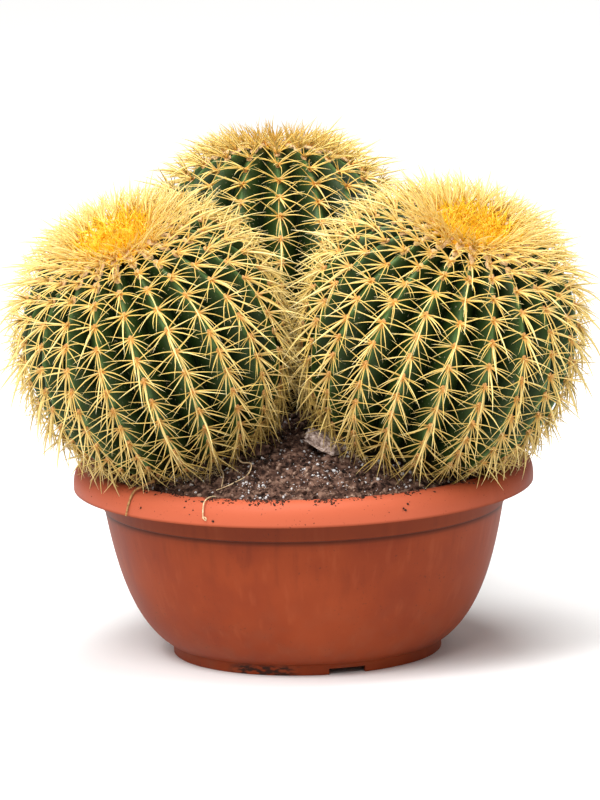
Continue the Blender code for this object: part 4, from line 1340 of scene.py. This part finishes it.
def lip_copy(name):
    """A copy of the bowl marked on the front of its lip, more so near the inner edge."""
    mesh = POT.data.copy()
    marks = []
    for vertex in mesh.vertices:
        x, y, z = vertex.co.x - AXIS_X, vertex.co.y - AXIS_Y, vertex.co.z
        radius, turn = math.hypot(x, y), math.degrees(math.atan2(y, x))
        inner = 1 - float(smoothstep(radius, *LIP_INNER_MARKS))
        patches = float(smoothstep(noise.noise(vertex.co * 70), -0.15, 0.3))
        front = patches * (1 - float(smoothstep(abs(turn - DUSTY_AZIMUTH), *DUSTY_SPAN)))
        upward = vertex.normal.z > 0.1 and z > LIP_MARKS_ABOVE and radius > LIP_MARKS_FROM
        marks.append((0.01 + 0.99 * inner**2) * (0.02 + 0.98 * front) if upward else 0.0)
    store(mesh, "open", marks)
    return new_object(name, mesh)


def grains(density, smallest, largest, roughness, flatness, sink, subdivisions=1):
    """The inputs of the grain tree that give one kind of grain."""
    sizes = {"Density": density, "Smallest": smallest, "Largest": largest, "Subdivisions": subdivisions}
    return sizes | {"Roughness": roughness, "Flatness": flatness, "Sink": sink}


FINE = grains(6.0e4, 0.0008, 0.0030, 0.55, 0.75, 0.1)
COARSE = grains(1.2e4, 0.0018, 0.0105, 0.3, 0.75, 0.15, subdivisions=2)
WHITE = grains(2.9e4, 0.0007, 0.0034, 0.45, 0.8, -0.15)
DUST = grains(7.5e5, 0.0007, 0.0036, 0.3, 0.55, 0.1)
GROUNDS = (
    (new_object("fine_peat_crumbs", SOIL.copy()), FINE, CRUMB),
    (new_object("coarse_peat_crumbs", SOIL.copy()), COARSE, CRUMB),
    (drift_copy("perlite_grains"), WHITE, PERLITE),
    (lip_copy("crumbs_on_the_lip"), DUST, DARK_CRUMB),
)
for number, (carrier, kind, finish) in enumerate(GROUNDS):
    run_tree(carrier, GRAINS, **kind, Seed=number + 31, Finish=finish)
    finish_piece(carrier, "potting_soil")

# %% [markdown]
# ## Bark, clods, roots and straw
#
# A few larger scraps lie on the mix. The bark chip is a block split into flakes, with sharp edges. Clods are
# the same lumps, hardly split and smooth. Roots and straw are thin tubes along given routes, with knots
# and bends, pressed close to what they lie on.

# %% Scraps
SCRAP_SQUARENESS = 0.3


def scrap(name, node, size, turn, flakes, rough, lean=0.0, fineness=5):
    """A lump or chip at the place of its node: a ball squared up, split into flakes and roughened."""
    low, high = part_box(node)
    shape = bmesh.new()
    bmesh.ops.create_icosphere(shape, subdivisions=fineness, radius=1.0)
    for vertex in shape.verts:
        p = vertex.co.copy()
        squared = Vector([math.copysign(abs(c) ** SCRAP_SQUARENESS, c) for c in p])
        split = flakes * round(3.5 * noise.noise(Vector((p.x * 0.8, p.y * 2.1, p.z * 2.4)))) / 3.5
        fine = rough * (noise.noise(p * 2.3) + 0.5 * noise.noise(p * 6) + 0.25 * noise.noise(p * 15))
        vertex.co = squared * (0.86 + split + fine)
    middle = Matrix.Translation((low + high) / 2)
    rotation = Matrix.Rotation(lean, 4, "Y") @ Matrix.Rotation(turn, 4, "Z")
    shape.transform(middle @ rotation @ Matrix.Diagonal((*[s / 2 for s in size], 1)))
    return mesh_from(name, shape)


def smooth_path(points, steps=8):
    """A Catmull-Rom curve through points."""
    p = [Vector(q) for q in (points[0], *points, points[-1])]
    found = []
    for a, b, c, d in zip(p, p[1:], p[2:], p[3:]):
        for i in range(steps):
            t = i / steps
            square, cube = 2 * a - 5 * b + 4 * c - d, 3 * b - a - 3 * c + d
            found.append(0.5 * (2 * b + (c - a) * t + square * t**2 + cube * t**3))
    return [*found, p[-1]]


def tube(name, path, radius, knots=0.25, columns=8):
    """A closed tube along a path, thicker at knots and thinner towards its far end."""
    rows = np.zeros((len(path), columns, 3))
    side = Vector((0.31, 0.17, 0.94))
    for i, here in enumerate(path):
        ahead = (path[min(i + 1, len(path) - 1)] - path[max(i - 1, 0)]).normalized()
        side = (side - ahead * side.dot(ahead)).normalized()
        other = ahead.cross(side)
        share = i / (len(path) - 1)
        knot = noise.noise(here * 260 + Vector((radius * 9000, 0, 0)))
        width = radius * (1.1 - 0.5 * share) * (1 + knots * knot)
        for j in range(columns):
            turn = 2 * math.pi * j / columns
            rows[i, j] = here + (side * math.cos(turn) + other * math.sin(turn)) * width
    return closed_grid(name, rows, path[0], path[-1])


def on_ground(x, y, lift):
    """A place on the mix, given from the pot's axis."""
    return (AXIS_X + x, AXIS_Y + y, ground(x, y)[0] + lift)


LIP_OUTLINE = ((0.2190, 0.2090), (0.2300, 0.2112), (0.2420, 0.2108), (0.2492, 0.2062))
HANGING_RADIUS, CURL_RADIUS = 0.2511, 0.2516


def over_lip(azimuth, drop, thick, curl):
    """Places across the lip of the bowl at an angle, hanging below its top and ending in a curl."""
    low = LIP_OUTLINE[-1][1] - drop
    stations = [(radius, height, 0.0) for radius, height in LIP_OUTLINE]
    stations += [(HANGING_RADIUS, low, 0.0), *[(CURL_RADIUS, low + rise, aside) for aside, rise in curl]]
    return [from_axis(radius + thick, height + thick, azimuth + aside) for radius, height, aside in stations]


CHIP_SIZE = (0.046, 0.026, 0.017)
CHIP_SHARP_FROM = math.radians(22)
CLODS = (
    ("soil_clod_large", (0.024, 0.018, 0.012), 0.4),
    ("soil_clod_small", (0.016, 0.013, 0.009), 1.1),
)
CHIP = scrap("bark_flake", "bark_chip", CHIP_SIZE, turn=-0.75, flakes=0.22, rough=0.16, lean=0.42, fineness=4)
finish_piece(new_object("bark_flake", CHIP, BARK), "bark_chip")
CHIP.set_sharp_from_angle(angle=CHIP_SHARP_FROM)
for node, size, turn in CLODS:
    lump = new_object(node + "_lump", scrap(node + "_lump", node, size, turn, 0.03, 0.16), PEAT)
    finish_piece(lump, node)

# %% [markdown]
# ## Given routes
#
# The places of the loop and of the upright root are given from the pot's axis, with how far they lie above
# the mix. The root over the rim follows the lip's outline and ends in a small curl. The straw rests on the
# lip like a beam, so its places are a distance from the axis, a height and an angle.

# %% Roots and straw
LOOP = [(-0.074, -0.128, 0.019), (-0.067, -0.140, 0.009), (-0.056, -0.150, 0.005), (-0.060, -0.165, 0.004)]
LOOP += [(-0.076, -0.178, 0.0035), (-0.094, -0.182, 0.0035)]
STEM_ROOT = [(-0.086, -0.130, 0.014), (-0.089, -0.143, 0.007)]
STEM_ROOT += [(-0.086, -0.158, 0.004), (-0.088, -0.180, 0.0035)]
ROOT_CURL = ((0.35, -0.0030), (0.75, -0.0042), (0.85, -0.0016), (0.30, -0.0006), (-0.20, -0.0022))
STALK = [(0.2205, 0.2195, -136.6), (0.2330, 0.2160, -137.4), (0.2450, 0.2110, -138.1)]
STALK += [(0.2510, 0.1985, -138.6), (0.2540, 0.1850, -139.0)]
RIM_ROUTE = [on_ground(-0.098, -0.186, 0.001), *over_lip(-115.5, 0.012, 0.0008, ROOT_CURL)]
ROUTES = (
    ("looping_dry_root", "dry_root_loop", [on_ground(*p) for p in LOOP], 0.0009, ROOT, "dry_root"),
    ("upright_dry_root", "dry_root_straight", [on_ground(*p) for p in STEM_ROOT], 0.0009, ROOT, "dry_root"),
    ("dry_root_on_the_lip", "dry_root_over_rim", RIM_ROUTE, 0.0008, ROOT, "dry_root"),
    ("straw_on_the_lip", "straw_over_rim", [from_axis(*p) for p in STALK], 0.0016, STRAW, "dry_straw"),
)
for name, node, points, radius, finish, slot in ROUTES:
    finish_piece(new_object(name, tube(name, smooth_path(points), radius), finish), node)

# %% [markdown]
# ## Fine roots
#
# A tangle of hair roots pokes out of the mix at the front left, where a plant was pressed in.


# %% Root tangle
def root_tangle(name, middle, spread, count, seed):
    """Short curly roots over a patch of ground, as one mesh."""
    chance = random.Random(seed)
    shape = bmesh.new()
    for _ in range(count):
        x, y = middle[0] + chance.gauss(0, spread), middle[1] + chance.gauss(0, spread * 0.6)
        heading = chance.uniform(0, 2 * math.pi)
        points = []
        for lift in (-0.001, 0.0025, 0.004, 0.003, 0.0015):
            points.append(on_ground(x, y, lift * chance.uniform(0.5, 1.4)))
            heading += chance.uniform(-0.9, 0.9)
            step = chance.uniform(0.002, 0.0055)
            x, y = x + step * math.cos(heading), y + step * math.sin(heading)
        shape.from_mesh(tube(name, smooth_path(points, 3), chance.uniform(0.0003, 0.0006), 0.4, 5))
    return mesh_from(name, shape)


TANGLE = root_tangle("hair_root_tangle", (-0.112, -0.135), 0.013, 42, 3)
finish_piece(new_object("hair_root_tangle", TANGLE, ROOT), "dry_root_straight")
bpy.data.objects.remove(OBSTACLE)

# %% [markdown]
# ## Studio
#
# A pale floor, a large soft light in front to the left and above, a second one over the top, a wide sun and
# a pale surround. The camera is far off with a long lens, a little above the plants, so the bowl's ellipse
# is shallow.

# %% Floor and lights
bpy.ops.mesh.primitive_plane_add(size=40)
FLOOR = bpy.context.object
FLOOR.name = "floor"
paper, paper_tree, paper_shader = new_material("white_paper")
feed(paper_tree, paper_shader, {"Base Color": linear("#f4f4f4"), "Roughness": 0.9})
FLOOR.data.materials.append(paper)
FLOOR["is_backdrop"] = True

AIM = Vector((AXIS_X, AXIS_Y, 0.25))
SOFT_LIGHTS = (("key", (-1.5, -2.5, 4.1), 1.6, 92), ("top", (0.1, -0.3, 3.4), 2.0, 95))
SUN_STRENGTH, SUN_WIDTH = 2.2, math.radians(50)
SUN_TILT = (math.radians(32), math.radians(-22), 0)
SKY_COLOUR, SKY_STRENGTH = (1.0, 0.98, 0.95, 1.0), 0.42


def soft_light(name, place, size, power):
    """A square area light aimed at the plants."""
    light = bpy.data.lights.new(name, "AREA")
    light.size, light.energy = size, power
    made = bpy.data.objects.new(name, light)
    made.location = place
    made.rotation_euler = (AIM - Vector(place)).to_track_quat("-Z", "Y").to_euler()
    bpy.context.scene.collection.objects.link(made)


for settings in SOFT_LIGHTS:
    soft_light(*settings)
SUN = bpy.data.lights.new("wide_sun", "SUN")
SUN.energy, SUN.angle = SUN_STRENGTH, SUN_WIDTH
LAMP = bpy.data.objects.new("wide_sun", SUN)
LAMP.rotation_euler = SUN_TILT
bpy.context.scene.collection.objects.link(LAMP)
WORLD = bpy.data.worlds.new("pale_surround")
WORLD.use_nodes = True
SURROUND = WORLD.node_tree.nodes["Background"]
feed(WORLD.node_tree, SURROUND, {"Color": SKY_COLOUR, "Strength": SKY_STRENGTH})
bpy.context.scene.world = WORLD
bpy.context.scene.view_settings.view_transform = "Standard"
print("lights:", ", ".join(light.name for light in bpy.data.lights))

# %% The camera
ELEVATION = math.radians(11)
ROLL = math.radians(1.4)
DISTANCE = 12.0
VIEW_HEIGHT = 0.8734  # of the scene, at the pot's axis
VIEW_LIFT = 0.26965  # of the view's middle above the pot's foot
VIEW_SHIFT = -0.0038
ROLL_PIVOT_HEIGHT = 0.19
SENSOR = 36.0


def place_camera():
    """The long lens in front, raised and rolled a little."""
    view = Vector((0, math.cos(ELEVATION), -math.sin(ELEVATION)))
    upward = Vector((0, math.sin(ELEVATION), math.cos(ELEVATION)))
    centre = Vector((AXIS_X + VIEW_SHIFT, AXIS_Y, 0)) + upward * VIEW_LIFT
    pivot = Vector((AXIS_X, AXIS_Y, ROLL_PIVOT_HEIGHT))
    rolled = Matrix.Translation(pivot) @ Matrix.Rotation(ROLL, 4, view) @ Matrix.Translation(-pivot)
    lens = bpy.data.cameras.new("camera")
    lens.sensor_width, lens.lens = SENSOR, SENSOR * DISTANCE / VIEW_HEIGHT
    made = bpy.data.objects.new("camera", lens)
    tilt = Matrix.Rotation(math.pi / 2 - ELEVATION, 4, "X")
    made.matrix_world = rolled @ Matrix.Translation(centre - view * DISTANCE) @ tilt
    bpy.context.scene.collection.objects.link(made)
    bpy.context.scene.camera = made


place_camera()
print(f"camera {DISTANCE} m off, {math.degrees(ELEVATION):.0f} degrees up, view {VIEW_HEIGHT} m high")

# %% [markdown]
# ## Sizes
#
# The pieces may not reach much further than the imported model, apart from the tips of the longest spines.
# Both boxes are written out so that they can be compared.

# %% Sizes
VISUAL_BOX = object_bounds()
for name, box in (("CAD", CAD_BOX), ("visual", VISUAL_BOX)):
    print(name, [[round(v * 1000, 1) for v in corner] for corner in box])
